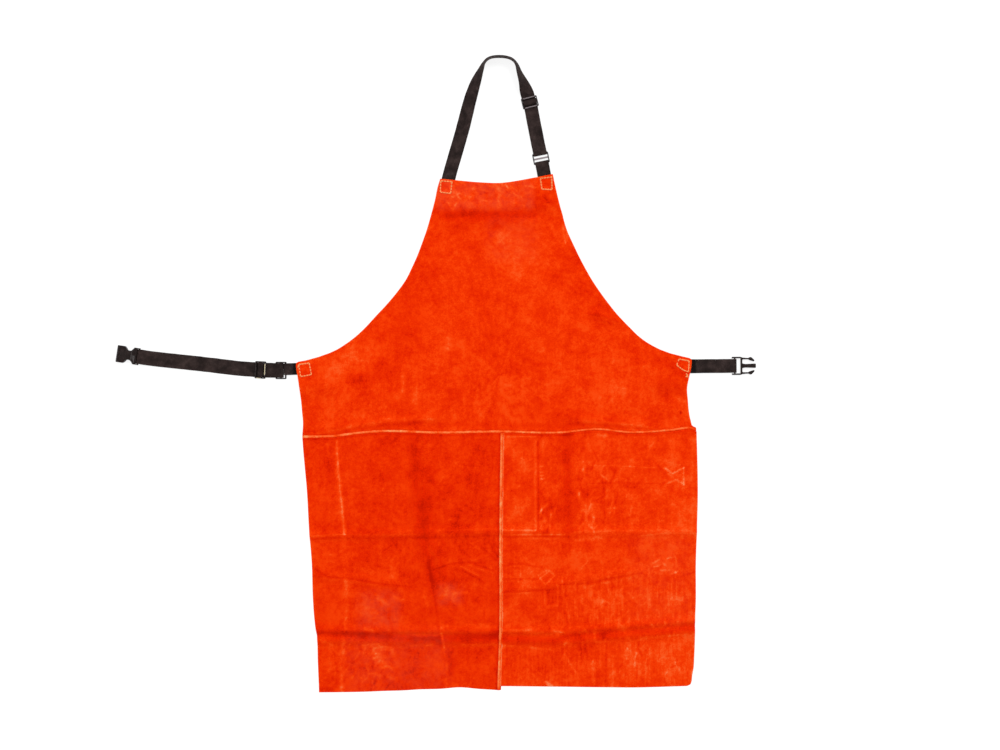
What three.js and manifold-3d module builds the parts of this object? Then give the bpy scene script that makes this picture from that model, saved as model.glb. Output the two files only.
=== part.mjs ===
// Leather work apron with a webbing neck loop and a buckled waist strap, laid flat with its front up.
// Millimetres. X runs across the apron, Y from the hem to the neck, and Z up from the floor.
// The origin lies on the underside of the bib, in the middle, where the hide is flat on the floor.

import * as THREE from 'three';
import { mergeVertices } from 'three/addons/utils/BufferGeometryUtils.js';
import Module from 'manifold-3d';

const wasm = await Module();
wasm.setup();

// Driving sizes

const GAP = 0.3; // kept between neighbouring pieces
const HIDE = 1.5; // thickness of the split hide
const WEBBING = 1.4; // thickness of the webbing
const NECK_WIDTH = 24;
const WAIST_WIDTH = 26;
const LEFT_TAB_WIDTH = 20.5;
const RIGHT_TAB_WIDTH = 24.5;

// Seam welt: a strip of hide on edge between two panels, with its crown standing proud of them.
const WELT = { width: 4.5, height: 3.2, shoulder: 2, crown: 2 };

// Two-slot frame of the sliders and rings.
const FRAME = {
  side: 2,
  slotLength: 5.8,
  centreBar: 2.2,
  outerBar: 2.8,
  thickness: 2.4,
  bevel: 0.6,
  corner: 1.5,
  slotCorner: 0.6,
};
const SLOT_PLAY = 1.2; // a slot is this much wider than its webbing
const BAR_EASE = 0.85; // from a bar's face back to the centre of the webbing's turn round it

// Both halves of the side-release buckle carry their webbing on a round bar.
const BUCKLE_BAR = { radius: 1.6, sides: 12 };
const BAR_BURY = 0.8; // each end of a bar runs this far into its rail
const SOCKET = {
  thickness: 9.6,
  wall: 1.7,
  mouth: -38,
  halfWidth: 14.9,
  railHalfHeight: 2.4,
  wallFace: -5.4,
  cavityEnd: -12.5,
  cavityHalfWidth: 12.6,
  bevel: 0.8,
};
const PLUG = {
  thickness: 5,
  bevel: 0.5,
  railStart: -5.2,
  railInside: 13.2,
  baseNear: 10.5,
};

// Half outlines of the buckle, from its bar at zero. along runs with the strap and half out from its middle.
const SOCKET_OUTLINE = [
  { along: SOCKET.mouth, half: SOCKET.halfWidth }, // mouth
  { along: -25, half: SOCKET.halfWidth }, // shoulder
  { along: -23.4, half: 13.5 },
  { along: -21.1, half: 9.7 },
  { along: -19.5, half: 8.3 }, // waist
  { along: -14, half: 8.3 },
  { along: -11, half: 11.1 },
  { along: -8, half: SOCKET.halfWidth }, // flare
  { along: 0.8, half: SOCKET.halfWidth }, // rail
  { along: 1.6, half: 14.1 },
];
const PLUG_OUTLINE = [
  { along: PLUG.railStart, half: 15.2 }, // rail
  { along: -4.4, half: 16 },
  { along: 9, half: 16 },
  { along: 13.2, half: 14.6 }, // arm, outside
  { along: 24, half: 13.8 },
  { along: 26.5, half: 15.4 }, // hook
  { along: 28.5, half: 15.4 },
  { along: 34.3, half: 9.9 },
  { along: 33.8, half: 7.6 },
  { along: 25.5, half: 9.8 },
  { along: 23.5, half: 11.2 }, // arm, inside
  { along: 14.7, half: 11.2 },
  { along: 13.2, half: 10 },
  { along: 13.2, half: 4.6 }, // guide
  { along: 18, half: 3.2 },
  { along: 35.9, half: 3.9 },
  { along: 36.9, half: 2.9 },
];

// Outline of the hide. Each row is a section across the apron at height y.

const BIB_SECTIONS = [
  { y: 345, left: -105, right: 92.6 },
  { y: 330, left: -109.5, right: 95.8 },
  { y: 308, left: -114, right: 101.8 },
  { y: 296, left: -117, right: 105.3 },
  { y: 283, left: -120.5, right: 109.5 },
  { y: 269, left: -124.5, right: 113 },
  { y: 251, left: -130, right: 119 },
  { y: 230, left: -137.5, right: 128.5 },
  { y: 209, left: -145.5, right: 138.5 },
  { y: 188, left: -155, right: 149.5 },
  { y: 167, left: -165.5, right: 161.5 },
  { y: 146, left: -180.5, right: 175.5 },
  { y: 125, left: -198.5, right: 191 },
  { y: 104, left: -219, right: 209 },
  { y: 83, left: -239, right: 230 },
  { y: 68, left: -254, right: 244.5 },
  { y: 54.5, left: -272.5, right: 265 },
  { y: 40.5, left: -298.5, right: 295 },
  { y: 33, left: -321, right: 318 },
  { y: 26.5, left: -345, right: 336 },
  { y: 20, left: -357.5, right: 338 },
  { y: 10, left: -358, right: 335 },
  { y: -2, left: -356.5, right: 332 },
  { y: -23, left: -353, right: 328.5 },
  { y: -44, left: -349.5, right: 330 },
  { y: -65, left: -347.5, right: 331.5 },
  { y: -80, left: -346, right: 333.2 },
  { y: -91, left: -346.5, right: 335.6 },
  { y: -100, left: -347, right: 340 },
];
const SKIRT_SECTIONS = [
  { y: -100, left: -347, right: 344.5 },
  { y: -142, left: -344.5, right: 346.5 },
  { y: -206, left: -339, right: 347.5 },
  { y: -269, left: -335.5, right: 346 },
  { y: -332, left: -330.5, right: 344 },
  { y: -395, left: -328.5, right: 344 },
  { y: -438, left: -325, right: 342.5 },
  { y: -459, left: -321.5, right: 342.5 },
  { y: -501, left: -320, right: 340.5 },
  { y: -535, left: -318.5, right: 338.2 },
  { y: -542, left: -318, right: 336.6 },
  { y: -546.5, left: -318, right: 333 },
  { y: -550, left: -318, right: 327 },
];
const TOP_EDGE = [
  { x: -105, y: 344.5 },
  { x: -35, y: 338.5 },
  { x: 0, y: 337.5 },
  { x: 35, y: 342 },
  { x: 95, y: 353 },
];
const WAIST_SEAM = [
  { x: -347, y: -108.5 },
  { x: -288, y: -107 },
  { x: -255, y: -102.5 },
  { x: -200, y: -98.5 },
  { x: -120, y: -101 },
  { x: 0, y: -99.5 },
  { x: 105, y: -101 },
  { x: 170, y: -95 },
  { x: 228, y: -100.5 },
  { x: 344.5, y: -93.5 },
];
const CENTRE_SEAM = [
  { y: -100, x: 3.5 },
  { y: -290, x: 1 },
  { y: -437, x: 1 },
  { y: -555, x: -2.5 },
];
const LEFT_HEM = [
  { x: -318, y: -556 },
  { x: -176, y: -553 },
  { x: -105, y: -551.5 },
  { x: -70, y: -548.5 },
  { x: -35, y: -551.5 },
  { x: 0, y: -553.5 },
];
const RIGHT_HEM = [
  { x: 0, y: -546 },
  { x: 336, y: -547 },
];

// Relief of the hide. A ridge is a crease that stands up. A valley keeps its crease on the floor
// between two raised shoulders. reach is the half width and height the rise above the floor.

const FOLDS = [
  { shape: 'valley', x0: -92, y0: 283, x1: 62, y1: 283, reach: 14, height: 1.4 }, // across the chest
  { shape: 'ridge', x0: 167, y0: 108, x1: 207, y1: 95, reach: 9, height: 2 }, // right armhole
  { shape: 'ridge', x0: -313, y0: -94, x1: -114, y1: -74, reach: 9, height: 1.6 }, // above the waist, left
  { shape: 'ridge', x0: 128, y0: -76, x1: 255, y1: -88, reach: 9, height: 1.6 }, // above the waist, right
  { shape: 'ridge', x0: -336, y0: -282, x1: 0, y1: -275, reach: 8, height: 2.2 }, // storage fold, left
  { shape: 'ridge', x0: 0, y0: -275, x1: 345, y1: -276, reach: 8, height: 2.2 }, // storage fold, right
  { shape: 'valley', x0: -322, y0: -457, x1: 110, y1: -459, reach: 9, height: 2.4 }, // lower fold
  { shape: 'valley', x0: 110, y0: -459, x1: 341, y1: -440, reach: 9, height: 2.4 }, // lower fold, rising
  { shape: 'valley', x0: -141, y0: -112, x1: -141, y1: -270, reach: 9, height: 2 }, // left thigh
  { shape: 'valley', x0: -141, y0: -270, x1: -105, y1: -360, reach: 9, height: 1.6 }, // left thigh, slanting
  { shape: 'valley', x0: 118, y0: -112, x1: 118, y1: -270, reach: 9, height: 2 }, // right thigh
  { shape: 'ridge', x0: 2, y0: -381, x1: 242, y1: -346, reach: 9, height: 1.4 }, // slanted crease
  { shape: 'ridge', x0: -316, y0: -351, x1: -179, y1: -369, reach: 9, height: 1.4 }, // lower left crease
];
const SEAM_ROLL = { reach: 8, height: 0.8 }; // the panels rise over the turned edges behind each welt
const RELIEF_FLOOR = 0.02; // anything lower lies flat

// Corners where webbing is sewn behind the hide, which lies over it.
const ONE_LAYER = WEBBING + 2 * GAP;
const TWO_LAYERS = 2 * WEBBING + 3 * GAP;
const CORNER_LIFTS = [
  { x: -96, y: 330, halfX: 24, halfY: 34, fade: 30, height: ONE_LAYER },
  { x: 80, y: 338, halfX: 26, halfY: 36, fade: 30, height: TWO_LAYERS },
  { x: -338, y: 10, halfX: 32, halfY: 26, fade: 34, height: TWO_LAYERS },
  { x: 316, y: 16, halfX: 34, halfY: 26, fade: 34, height: TWO_LAYERS },
];

// Straps seen from above. The neck loop stands up on its edge over the top: roll is that turn.
const NECK_PLAN = [
  { x: -97, y: 316, roll: 0 },
  { x: -88.5, y: 352, roll: 0 },
  { x: -68, y: 423, roll: 4 },
  { x: -59, y: 457, roll: 12 },
  { x: -52, y: 484, roll: 26 },
  { x: -43.5, y: 512, roll: 45 },
  { x: -34.5, y: 534, roll: 70 },
  { x: -28.5, y: 547, roll: 80 },
  { x: -19, y: 557, roll: 81 },
  { x: 0, y: 560, roll: 81 },
  { x: 19, y: 556, roll: 81 },
  { x: 28.5, y: 546.5, roll: 79 },
  { x: 34.5, y: 530, roll: 63 },
  { x: 42, y: 511, roll: 41 },
  { x: 46.5, y: 497.5, roll: 12 },
  { x: 49.3, y: 489, roll: 0 },
  { x: 52.5, y: 478, roll: 0 },
  { x: 62, y: 430, roll: 0 },
  { x: 72, y: 380, roll: 0 },
  { x: 83, y: 325, roll: 0 },
];
const WAIST_PLAN = [
  { x: -634, y: 32.2, roll: 0 },
  { x: -610, y: 28.6, roll: 0 },
  { x: -530, y: 20, roll: 0 },
  { x: -445, y: 10.5, roll: 0 },
  { x: -384, y: 8, roll: 0 },
  { x: -330, y: 10, roll: 0 },
];
const RIGHT_PLAN = [
  { x: 310, y: 15, roll: 0 },
  { x: 412, y: 16, roll: 0 },
];

// Places along the straps, as x or y of the piece that sits there.
const NECK_SLIDER_Y = 478;
const NECK_RING_Y = 380;
const WAIST_SLIDER_X = -420;
const WAIST_RING_X = -384;
const WAIST_TAIL = 109; // free tail behind the socket
const TAB_TUCK = 4; // from the end of a plan back to the sewn end of its tab

// Steps of the meshes
const COLUMN_STEP = 33;
const ROW_STEP = 30;
const PLAN_STEP = 9;
const PLAN_DIVISIONS = 800; // samples behind the distance along a strap
const ARC_STEPS = 2;
const FOLD_CLEAR = 2.6; // even steps stay this many reaches away from a fold
const FOLD_SIDES = [-2, -1, 0, 1, 2]; // steps across a fold, in reaches
const MITRE_LIMIT = 0.7; // keeps sharp turns of the webbing from growing thick

// Finishes

const matt = (color, roughness) => new THREE.MeshStandardMaterial({ color, roughness, metalness: 0 });
const hideFinish = () => matt(0xf03403, 0.95);
const weltFinish = () => matt(0xff8c4a, 0.95);
const webbingFinish = () => matt(0x332826, 0.85);
const plasticFinish = () => matt(0x231d1c, 0.35);

// Tables and curves

// Reads one column of a table against another, on a smooth curve through its rows.
function tableCurve(rows, along, across) {
  const ordered = [...rows].sort((a, b) => a[along] - b[along]);
  const places = ordered.map((row) => row[along]);
  const values = ordered.map((row) => row[across]);
  const curve = new THREE.CubicInterpolant(places, values, 1);
  return (place) => curve.evaluate(place)[0];
}

const bibLeft = tableCurve(BIB_SECTIONS, 'y', 'left');
const bibRight = tableCurve(BIB_SECTIONS, 'y', 'right');
const skirtLeft = tableCurve(SKIRT_SECTIONS, 'y', 'left');
const skirtRight = tableCurve(SKIRT_SECTIONS, 'y', 'right');
const topEdge = tableCurve(TOP_EDGE, 'x', 'y');
const waistSeam = tableCurve(WAIST_SEAM, 'x', 'y');
const centreSeam = tableCurve(CENTRE_SEAM, 'y', 'x');
const leftHem = tableCurve(LEFT_HEM, 'x', 'y');
const rightHem = tableCurve(RIGHT_HEM, 'x', 'y');

// Even places from one end to the other, with extra ones on the shoulders of each fold.
function stations(from, to, step, folds) {
  const count = Math.max(1, Math.round(Math.abs(to - from) / step));
  const even = Array.from({ length: count + 1 }, (_, i) => from + ((to - from) * i) / count);
  const nearFold = (place) => folds.some((fold) => Math.abs(place - fold.at) < FOLD_CLEAR * fold.reach);
  const kept = even.filter((place, i) => i === 0 || i === count || !nearFold(place));
  const extra = folds.flatMap((fold) => FOLD_SIDES.map((side) => fold.at + side * fold.reach));
  return [...kept, ...extra].sort((a, b) => (a - b) * Math.sign(to - from));
}

// Relief of the hide

const foldShape = {
  ridge: (s) => Math.exp(-s * s),
  valley: (s) => s * s * Math.exp(1 - s * s),
};

function distanceToFold(fold, x, y) {
  const start = new THREE.Vector3(fold.x0, fold.y0, 0);
  const line = new THREE.Line3(start, new THREE.Vector3(fold.x1, fold.y1, 0));
  const place = new THREE.Vector3(x, y, 0);
  return line.closestPointToPoint(place, true, new THREE.Vector3()).distanceTo(place);
}

function cornerLift(lift, x, y) {
  const outsideX = Math.max(0, Math.abs(x - lift.x) - lift.halfX);
  const outsideY = Math.max(0, Math.abs(y - lift.y) - lift.halfY);
  const away = Math.hypot(outsideX, outsideY) / lift.fade;
  return lift.height * (1 - THREE.MathUtils.smoothstep(away, 0, 1));
}

// Height of the underside of the hide above the floor.
function relief(x, y) {
  const rise = (fold) => fold.height * foldShape[fold.shape](distanceToFold(fold, x, y) / fold.reach);
  const folds = FOLDS.map(rise);
  const corners = CORNER_LIFTS.map((lift) => cornerLift(lift, x, y));
  const toWaist = Math.abs(y - waistSeam(x));
  const toCentre = y < waistSeam(x) ? Math.abs(x - centreSeam(y)) : Infinity;
  const roll = SEAM_ROLL.height * foldShape.ridge(Math.min(toWaist, toCentre) / SEAM_ROLL.reach);
  const height = Math.max(roll, ...folds, ...corners);
  return height < RELIEF_FLOOR ? 0 : height;
}

// Meshes

// A closed geometry from a list of points and a list of polygons, each split into a fan.
function closedGeometry(points, polygons) {
  const index = [];
  for (const polygon of polygons) {
    for (let k = 1; k < polygon.length - 1; k += 1) {
      index.push(polygon[0], polygon[k], polygon[k + 1]);
    }
  }
  const geometry = new THREE.BufferGeometry();
  geometry.setFromPoints(points);
  geometry.setIndex(index);
  geometry.computeVertexNormals();
  return geometry;
}

// A sheet of hide over a grid of places, rows from the hem upwards and columns from left to right.
function hideGeometry(grid) {
  const rowCount = grid.length;
  const columnCount = grid[0].length;
  const places = grid.flat();
  const under = places.map(({ x, y }) => new THREE.Vector3(x, y, relief(x, y)));
  const over = under.map((place) => new THREE.Vector3(place.x, place.y, place.z + HIDE));
  const top = (row, column) => places.length + row * columnCount + column;
  const bottom = (row, column) => row * columnCount + column;
  const polygons = [];
  for (let row = 0; row < rowCount - 1; row += 1) {
    for (let column = 0; column < columnCount - 1; column += 1) {
      const corners = [
        [row, column],
        [row, column + 1],
        [row + 1, column + 1],
        [row + 1, column],
      ];
      polygons.push(corners.map(([r, c]) => top(r, c)));
      polygons.push([...corners].reverse().map(([r, c]) => bottom(r, c)));
    }
  }
  const rim = [];
  for (let column = 0; column < columnCount - 1; column += 1) {
    rim.push([0, column]);
  }
  for (let row = 0; row < rowCount - 1; row += 1) {
    rim.push([row, columnCount - 1]);
  }
  for (let column = columnCount - 1; column > 0; column -= 1) {
    rim.push([rowCount - 1, column]);
  }
  for (let row = rowCount - 1; row > 0; row -= 1) {
    rim.push([row, 0]);
  }
  rim.forEach(([row, column], k) => {
    const [nextRow, nextColumn] = rim[(k + 1) % rim.length];
    const lower = [bottom(row, column), bottom(nextRow, nextColumn)];
    polygons.push([...lower, top(nextRow, nextColumn), top(row, column)]);
  });
  return closedGeometry([...under, ...over], polygons);
}

// A band with the same section at each stop. rings holds its points at each stop, in order round it.
function bandGeometry(rings) {
  const sides = rings[0].length;
  const last = rings.length - 1;
  const at = (ring, side) => ring * sides + (side % sides);
  const around = Array.from({ length: sides }, (_, side) => side);
  const polygons = [around.map((side) => at(0, side)).reverse(), around.map((side) => at(last, side))];
  for (let ring = 0; ring < last; ring += 1) {
    for (const side of around) {
      polygons.push([at(ring, side), at(ring, side + 1), at(ring + 1, side + 1), at(ring + 1, side)]);
    }
  }
  return closedGeometry(rings.flat(), polygons);
}

function toSolid(geometry) {
  const bare = geometry.clone();
  bare.deleteAttribute('normal');
  bare.deleteAttribute('uv');
  const merged = mergeVertices(bare);
  const vertProperties = new Float32Array(merged.attributes.position.array);
  const triVerts = new Uint32Array(merged.index.array);
  return new wasm.Manifold(new wasm.Mesh({ numProp: 3, vertProperties, triVerts }));
}

function fromSolid(solid) {
  const mesh = solid.getMesh();
  const geometry = new THREE.BufferGeometry();
  geometry.setAttribute('position', new THREE.BufferAttribute(new Float32Array(mesh.vertProperties), 3));
  geometry.setIndex(new THREE.BufferAttribute(new Uint32Array(mesh.triVerts), 1));
  geometry.computeVertexNormals();
  return geometry;
}

function boxSolid(x0, x1, y0, y1, z0, z1) {
  const box = new THREE.BoxGeometry(x1 - x0, y1 - y0, z1 - z0);
  box.translate((x0 + x1) / 2, (y0 + y1) / 2, (z0 + z1) / 2);
  return toSolid(box);
}

// A plate of the given outline, bevelled on both faces and centred on z = 0.
function plateGeometry(shape, thickness, bevel) {
  const geometry = new THREE.ExtrudeGeometry(shape, {
    depth: thickness - 2 * bevel,
    bevelEnabled: true,
    bevelThickness: bevel,
    bevelSize: bevel,
    bevelOffset: -bevel,
    bevelSegments: 1,
    steps: 1,
  });
  geometry.translate(0, 0, bevel - thickness / 2);
  return geometry;
}

// Hide panels

const EDGE_BLEND = 60; // a panel's rows take on the line of its top or bottom edge over this height
const SEAM_HALF = WELT.width / 2 + GAP;
const BIB_TOP = BIB_SECTIONS[0].y;
const SEAM_Y = SKIRT_SECTIONS[0].y;
const LEFT_THIGH = { at: -141, reach: 9 };
const RIGHT_THIGH = { at: 118, reach: 9 };
const STORAGE_FOLD = { at: -277, reach: 8 };
const LOWER_FOLD = { at: -455, reach: 9 };
const HEM_ROUND = { at: -542, reach: 3 }; // rounded lower right corner

const centreAtWaist = centreSeam(SEAM_Y);
const leftColumns = stations(skirtLeft(SEAM_Y), centreAtWaist - SEAM_HALF, COLUMN_STEP, [LEFT_THIGH]);
const rightColumns = stations(centreAtWaist + SEAM_HALF, skirtRight(SEAM_Y), COLUMN_STEP, [RIGHT_THIGH]);
const waistColumns = [...leftColumns, ...rightColumns];
const shareAcross = (columns) => columns.map((x) => (x - columns[0]) / (columns.at(-1) - columns[0]));
const blend = (distance) => 1 - THREE.MathUtils.smoothstep(distance, 0, EDGE_BLEND);

function bibGrid() {
  const shares = shareAcross(waistColumns);
  const rows = [...BIB_SECTIONS].reverse().map((section) => section.y);
  return rows.map((rowY) =>
    shares.map((share) => {
      const x = THREE.MathUtils.lerp(bibLeft(rowY), bibRight(rowY), share);
      const toTop = (topEdge(x) - BIB_TOP) * blend(BIB_TOP - rowY);
      const toSeam = (waistSeam(x) + SEAM_HALF - SEAM_Y) * blend(rowY - SEAM_Y);
      return { x, y: rowY + toTop + toSeam };
    }),
  );
}

function skirtGrid(columns, leftSide, rightSide, hem, folds) {
  const shares = shareAcross(columns);
  const hemY = SKIRT_SECTIONS.at(-1).y;
  const rows = stations(hemY, SEAM_Y, ROW_STEP, folds);
  return rows.map((rowY) =>
    shares.map((share) => {
      const x = THREE.MathUtils.lerp(leftSide(rowY), rightSide(rowY), share);
      const toHem = (hem(x) - hemY) * blend(rowY - hemY);
      const toSeam = (waistSeam(x) - SEAM_HALF - SEAM_Y) * blend(SEAM_Y - rowY);
      return { x, y: rowY + toHem + toSeam };
    }),
  );
}

function leftSkirtGrid() {
  const folds = [LOWER_FOLD, STORAGE_FOLD];
  return skirtGrid(leftColumns, skirtLeft, (y) => centreSeam(y) - SEAM_HALF, leftHem, folds);
}

function rightSkirtGrid() {
  const folds = [LOWER_FOLD, STORAGE_FOLD, HEM_ROUND];
  return skirtGrid(rightColumns, (y) => centreSeam(y) + SEAM_HALF, skirtRight, rightHem, folds);
}

// Section of a welt, as offsets across it and up, in order round it seen along its run.
const WELT_SECTION = [
  { across: WELT.width / 2, up: 0 },
  { across: WELT.width / 2, up: WELT.shoulder },
  { across: WELT.crown / 2, up: WELT.height },
  { across: -WELT.crown / 2, up: WELT.height },
  { across: -WELT.width / 2, up: WELT.shoulder },
  { across: -WELT.width / 2, up: 0 },
];

function waistWeltGeometry() {
  const rings = waistColumns.map((x) =>
    WELT_SECTION.map(({ across, up }) => new THREE.Vector3(x, waistSeam(x) + across, up)),
  );
  return bandGeometry(rings);
}

function centreWeltGeometry() {
  const startY = waistSeam(centreAtWaist) - SEAM_HALF;
  const endY = leftHem(centreSeam(SKIRT_SECTIONS.at(-1).y));
  const rings = stations(startY, endY, ROW_STEP, []).map((y) =>
    WELT_SECTION.map(({ across, up }) => new THREE.Vector3(centreSeam(y) + across, y, up)),
  );
  return bandGeometry(rings);
}

// Straps

// The line of a strap seen from above, read by the distance along it.
class StrapPlan {
  constructor(rows) {
    const places = rows.map((row) => new THREE.Vector3(row.x, row.y, THREE.MathUtils.degToRad(row.roll)));
    this.curve = new THREE.CatmullRomCurve3(places, false, 'centripetal');
    this.curve.arcLengthDivisions = PLAN_DIVISIONS;
    this.length = this.curve.getLength();
  }

  // Place, heading and roll at a distance along the strap, straight on past either end.
  at(distance) {
    const inside = THREE.MathUtils.clamp(distance, 0, this.length);
    const place = this.curve.getPointAt(inside / this.length);
    const tangent = this.curve.getTangentAt(inside / this.length).setZ(0).normalize();
    const roll = Math.max(0, place.z);
    place.setZ(0).addScaledVector(tangent, distance - inside);
    return { place, tangent, roll };
  }

  // Distance at which x or y of the strap comes closest to a value, past a given start.
  find(axis, value, from = 0) {
    const count = Math.ceil(this.length - from);
    const distances = Array.from({ length: count }, (_, i) => from + i);
    const miss = (distance) => Math.abs(this.at(distance).place[axis] - value);
    return distances.reduce((best, distance) => (miss(distance) < miss(best) ? distance : best));
  }
}

// Splits the long stretches of a side view so that they follow the plan's curve.
function spread(stops) {
  return stops.flatMap((stop, k) => {
    if (k === 0) return [stop];
    const before = stops[k - 1];
    const count = Math.max(1, Math.round(before.distanceTo(stop) / PLAN_STEP));
    return Array.from({ length: count }, (_, i) => before.clone().lerp(stop, (i + 1) / count));
  });
}

// Webbing along a plan. The side view gives the distance along the plan and the height of its middle.
function strapGeometry(plan, sideView, width) {
  const stops = spread(sideView.getPoints(ARC_STEPS));
  const up = new THREE.Vector3(0, 0, 1);
  const headings = stops.slice(1).map((stop, k) => stop.clone().sub(stops[k]).normalize());
  const rings = stops.map((stop, k) => {
    const before = headings[Math.max(0, k - 1)];
    const after = headings[Math.min(k, headings.length - 1)];
    const middle = before.clone().add(after).normalize();
    const half = WEBBING / 2 / Math.max(MITRE_LIMIT, middle.dot(after));
    const { place, tangent, roll } = plan.at(stop.x);
    const along = tangent.clone().multiplyScalar(middle.x).addScaledVector(up, middle.y);
    const left = new THREE.Vector3().crossVectors(up, tangent);
    const across = left.multiplyScalar(Math.cos(roll)).addScaledVector(up, -Math.sin(roll));
    const face = new THREE.Vector3().crossVectors(along, across);
    const standing = (width / 2) * Math.sin(roll) - (WEBBING / 2) * (1 - Math.cos(roll));
    const centre = place.clone().addScaledVector(up, stop.y + standing);
    const corner = (side, rise) =>
      centre
        .clone()
        .addScaledVector(across, (side * width) / 2)
        .addScaledVector(face, rise * half);
    return [corner(1, 1), corner(-1, 1), corner(-1, -1), corner(1, -1)];
  });
  return bandGeometry(rings);
}

// Heights of the webbing's middle and of the hardware it runs through
const ON_FLOOR = WEBBING / 2;
const ON_WEBBING = ON_FLOOR + WEBBING + GAP;
const FRAME_TURN = FRAME.thickness / 2 + GAP + WEBBING / 2; // radius of webbing turned round a frame's bar
const OVER_TURN = FRAME_TURN + WEBBING + GAP; // radius of a second layer over that
const RING_HEIGHT = ON_FLOOR + FRAME_TURN;
const SLIDER_HEIGHT = ON_WEBBING + FRAME_TURN;
const BUCKLE_TURN = BUCKLE_BAR.radius + GAP + WEBBING / 2;
const SOCKET_HEIGHT = SOCKET.thickness / 2;
const PLUG_HEIGHT = ON_FLOOR + BUCKLE_TURN;
const SLOT_TURN = 1.5; // radius of the webbing's bend into and out of a slot
const SLOPE = 16; // run over which webbing comes down from hardware to the floor
const TUCK = 1; // short end of the loop under the slider's centre bar

const RIGHT = 0;
const UP = Math.PI / 2;
const LEFT = Math.PI;
const DOWN = -Math.PI / 2;

const centreBarTurn = FRAME.centreBar / 2 - BAR_EASE;
const outerBarAt = FRAME.centreBar / 2 + FRAME.slotLength + FRAME.outerBar / 2;
const outerBarTurn = FRAME.outerBar / 2 - BAR_EASE;
const frameEnd = outerBarAt + FRAME.outerBar / 2;

// Runs a strap through its slider, round a bar of its ring, and back to a loop on the slider's centre bar.
function adjustableEnd(path, slider, ring, ringTurn) {
  const near = slider - centreBarTurn;
  const far = slider + centreBarTurn;
  const over = OVER_TURN;
  const loop = FRAME_TURN;
  path.lineTo(near - over - SLOT_TURN, ON_FLOOR);
  path.absarc(near - over - SLOT_TURN, ON_FLOOR + SLOT_TURN, SLOT_TURN, DOWN, RIGHT, false);
  path.absarc(near, SLIDER_HEIGHT, over, LEFT, UP, true);
  path.absarc(far, SLIDER_HEIGHT, over, UP, RIGHT, true);
  path.absarc(far + over + SLOT_TURN, ON_WEBBING + SLOT_TURN, SLOT_TURN, LEFT, LEFT + UP, false);
  path.lineTo(ring - frameEnd - SLOPE, ON_WEBBING);
  path.lineTo(ring - frameEnd, RING_HEIGHT + loop);
  path.absarc(ringTurn, RING_HEIGHT, loop, UP, RIGHT, true);
  path.absarc(ringTurn, RING_HEIGHT, loop, RIGHT, DOWN, true);
  path.absarc(far + loop + SLOT_TURN, ON_FLOOR + SLOT_TURN, SLOT_TURN, DOWN, -LEFT, true);
  path.absarc(far, SLIDER_HEIGHT, loop, RIGHT, UP, false);
  path.absarc(near, SLIDER_HEIGHT, loop, UP, LEFT, false);
  path.absarc(near, SLIDER_HEIGHT, loop, LEFT, LEFT + UP, false);
  path.lineTo(far + TUCK, SLIDER_HEIGHT - loop);
  return path;
}

// A doubled tab: out from under the hide, round a bar and back under it. out is 1 where the bar lies
// further along the plan than the sewn end, and -1 where it lies before it.
function tabSideView(sewnEnd, bar, barHeight, turn, out) {
  const path = new THREE.Path();
  const side = out > 0 ? RIGHT : LEFT;
  path.moveTo(sewnEnd, ON_WEBBING);
  path.lineTo(bar - out * SLOPE, ON_WEBBING);
  path.absarc(bar, barHeight, turn, UP, side, out > 0);
  path.absarc(bar, barHeight, turn, side, out > 0 ? DOWN : LEFT + UP, out > 0);
  path.lineTo(bar - out * SLOPE, ON_FLOOR);
  path.lineTo(sewnEnd, ON_FLOOR);
  return path;
}

const neckPlan = new StrapPlan(NECK_PLAN);
const waistPlan = new StrapPlan(WAIST_PLAN);
const rightPlan = new StrapPlan(RIGHT_PLAN);
const neckSlider = neckPlan.find('y', NECK_SLIDER_Y, neckPlan.length / 2);
const neckRing = neckPlan.find('y', NECK_RING_Y, neckPlan.length / 2);
const waistSlider = waistPlan.find('x', WAIST_SLIDER_X);
const waistRing = waistPlan.find('x', WAIST_RING_X);

function neckStrapGeometry() {
  const path = new THREE.Path();
  path.moveTo(0, ON_FLOOR);
  adjustableEnd(path, neckSlider, neckRing, neckRing - outerBarAt + outerBarTurn);
  return strapGeometry(neckPlan, path, NECK_WIDTH);
}

function waistStrapGeometry() {
  const path = new THREE.Path();
  path.moveTo(WAIST_TAIL, ON_FLOOR);
  path.lineTo(SLOPE, ON_FLOOR);
  path.absarc(0, SOCKET_HEIGHT, BUCKLE_TURN, DOWN, -LEFT, true);
  path.absarc(0, SOCKET_HEIGHT, BUCKLE_TURN, LEFT, UP, true);
  path.lineTo(2 * SLOPE, ON_WEBBING);
  path.lineTo(WAIST_TAIL + TUCK, ON_WEBBING);
  path.lineTo(WAIST_TAIL + SLOPE, ON_FLOOR);
  adjustableEnd(path, waistSlider, waistRing, waistRing + centreBarTurn);
  return strapGeometry(waistPlan, path, WAIST_WIDTH);
}

function neckTabGeometry() {
  const bar = neckRing + outerBarAt - outerBarTurn;
  const path = tabSideView(neckPlan.length - TAB_TUCK, bar, RING_HEIGHT, FRAME_TURN, -1);
  return strapGeometry(neckPlan, path, NECK_WIDTH);
}

function leftTabGeometry() {
  const bar = waistRing + outerBarAt - outerBarTurn;
  const path = tabSideView(waistPlan.length - TAB_TUCK, bar, RING_HEIGHT, FRAME_TURN, -1);
  return strapGeometry(waistPlan, path, LEFT_TAB_WIDTH);
}

function rightTabGeometry() {
  const path = tabSideView(TAB_TUCK, rightPlan.length, PLUG_HEIGHT, BUCKLE_TURN, 1);
  return strapGeometry(rightPlan, path, RIGHT_TAB_WIDTH);
}

// Hardware

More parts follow.
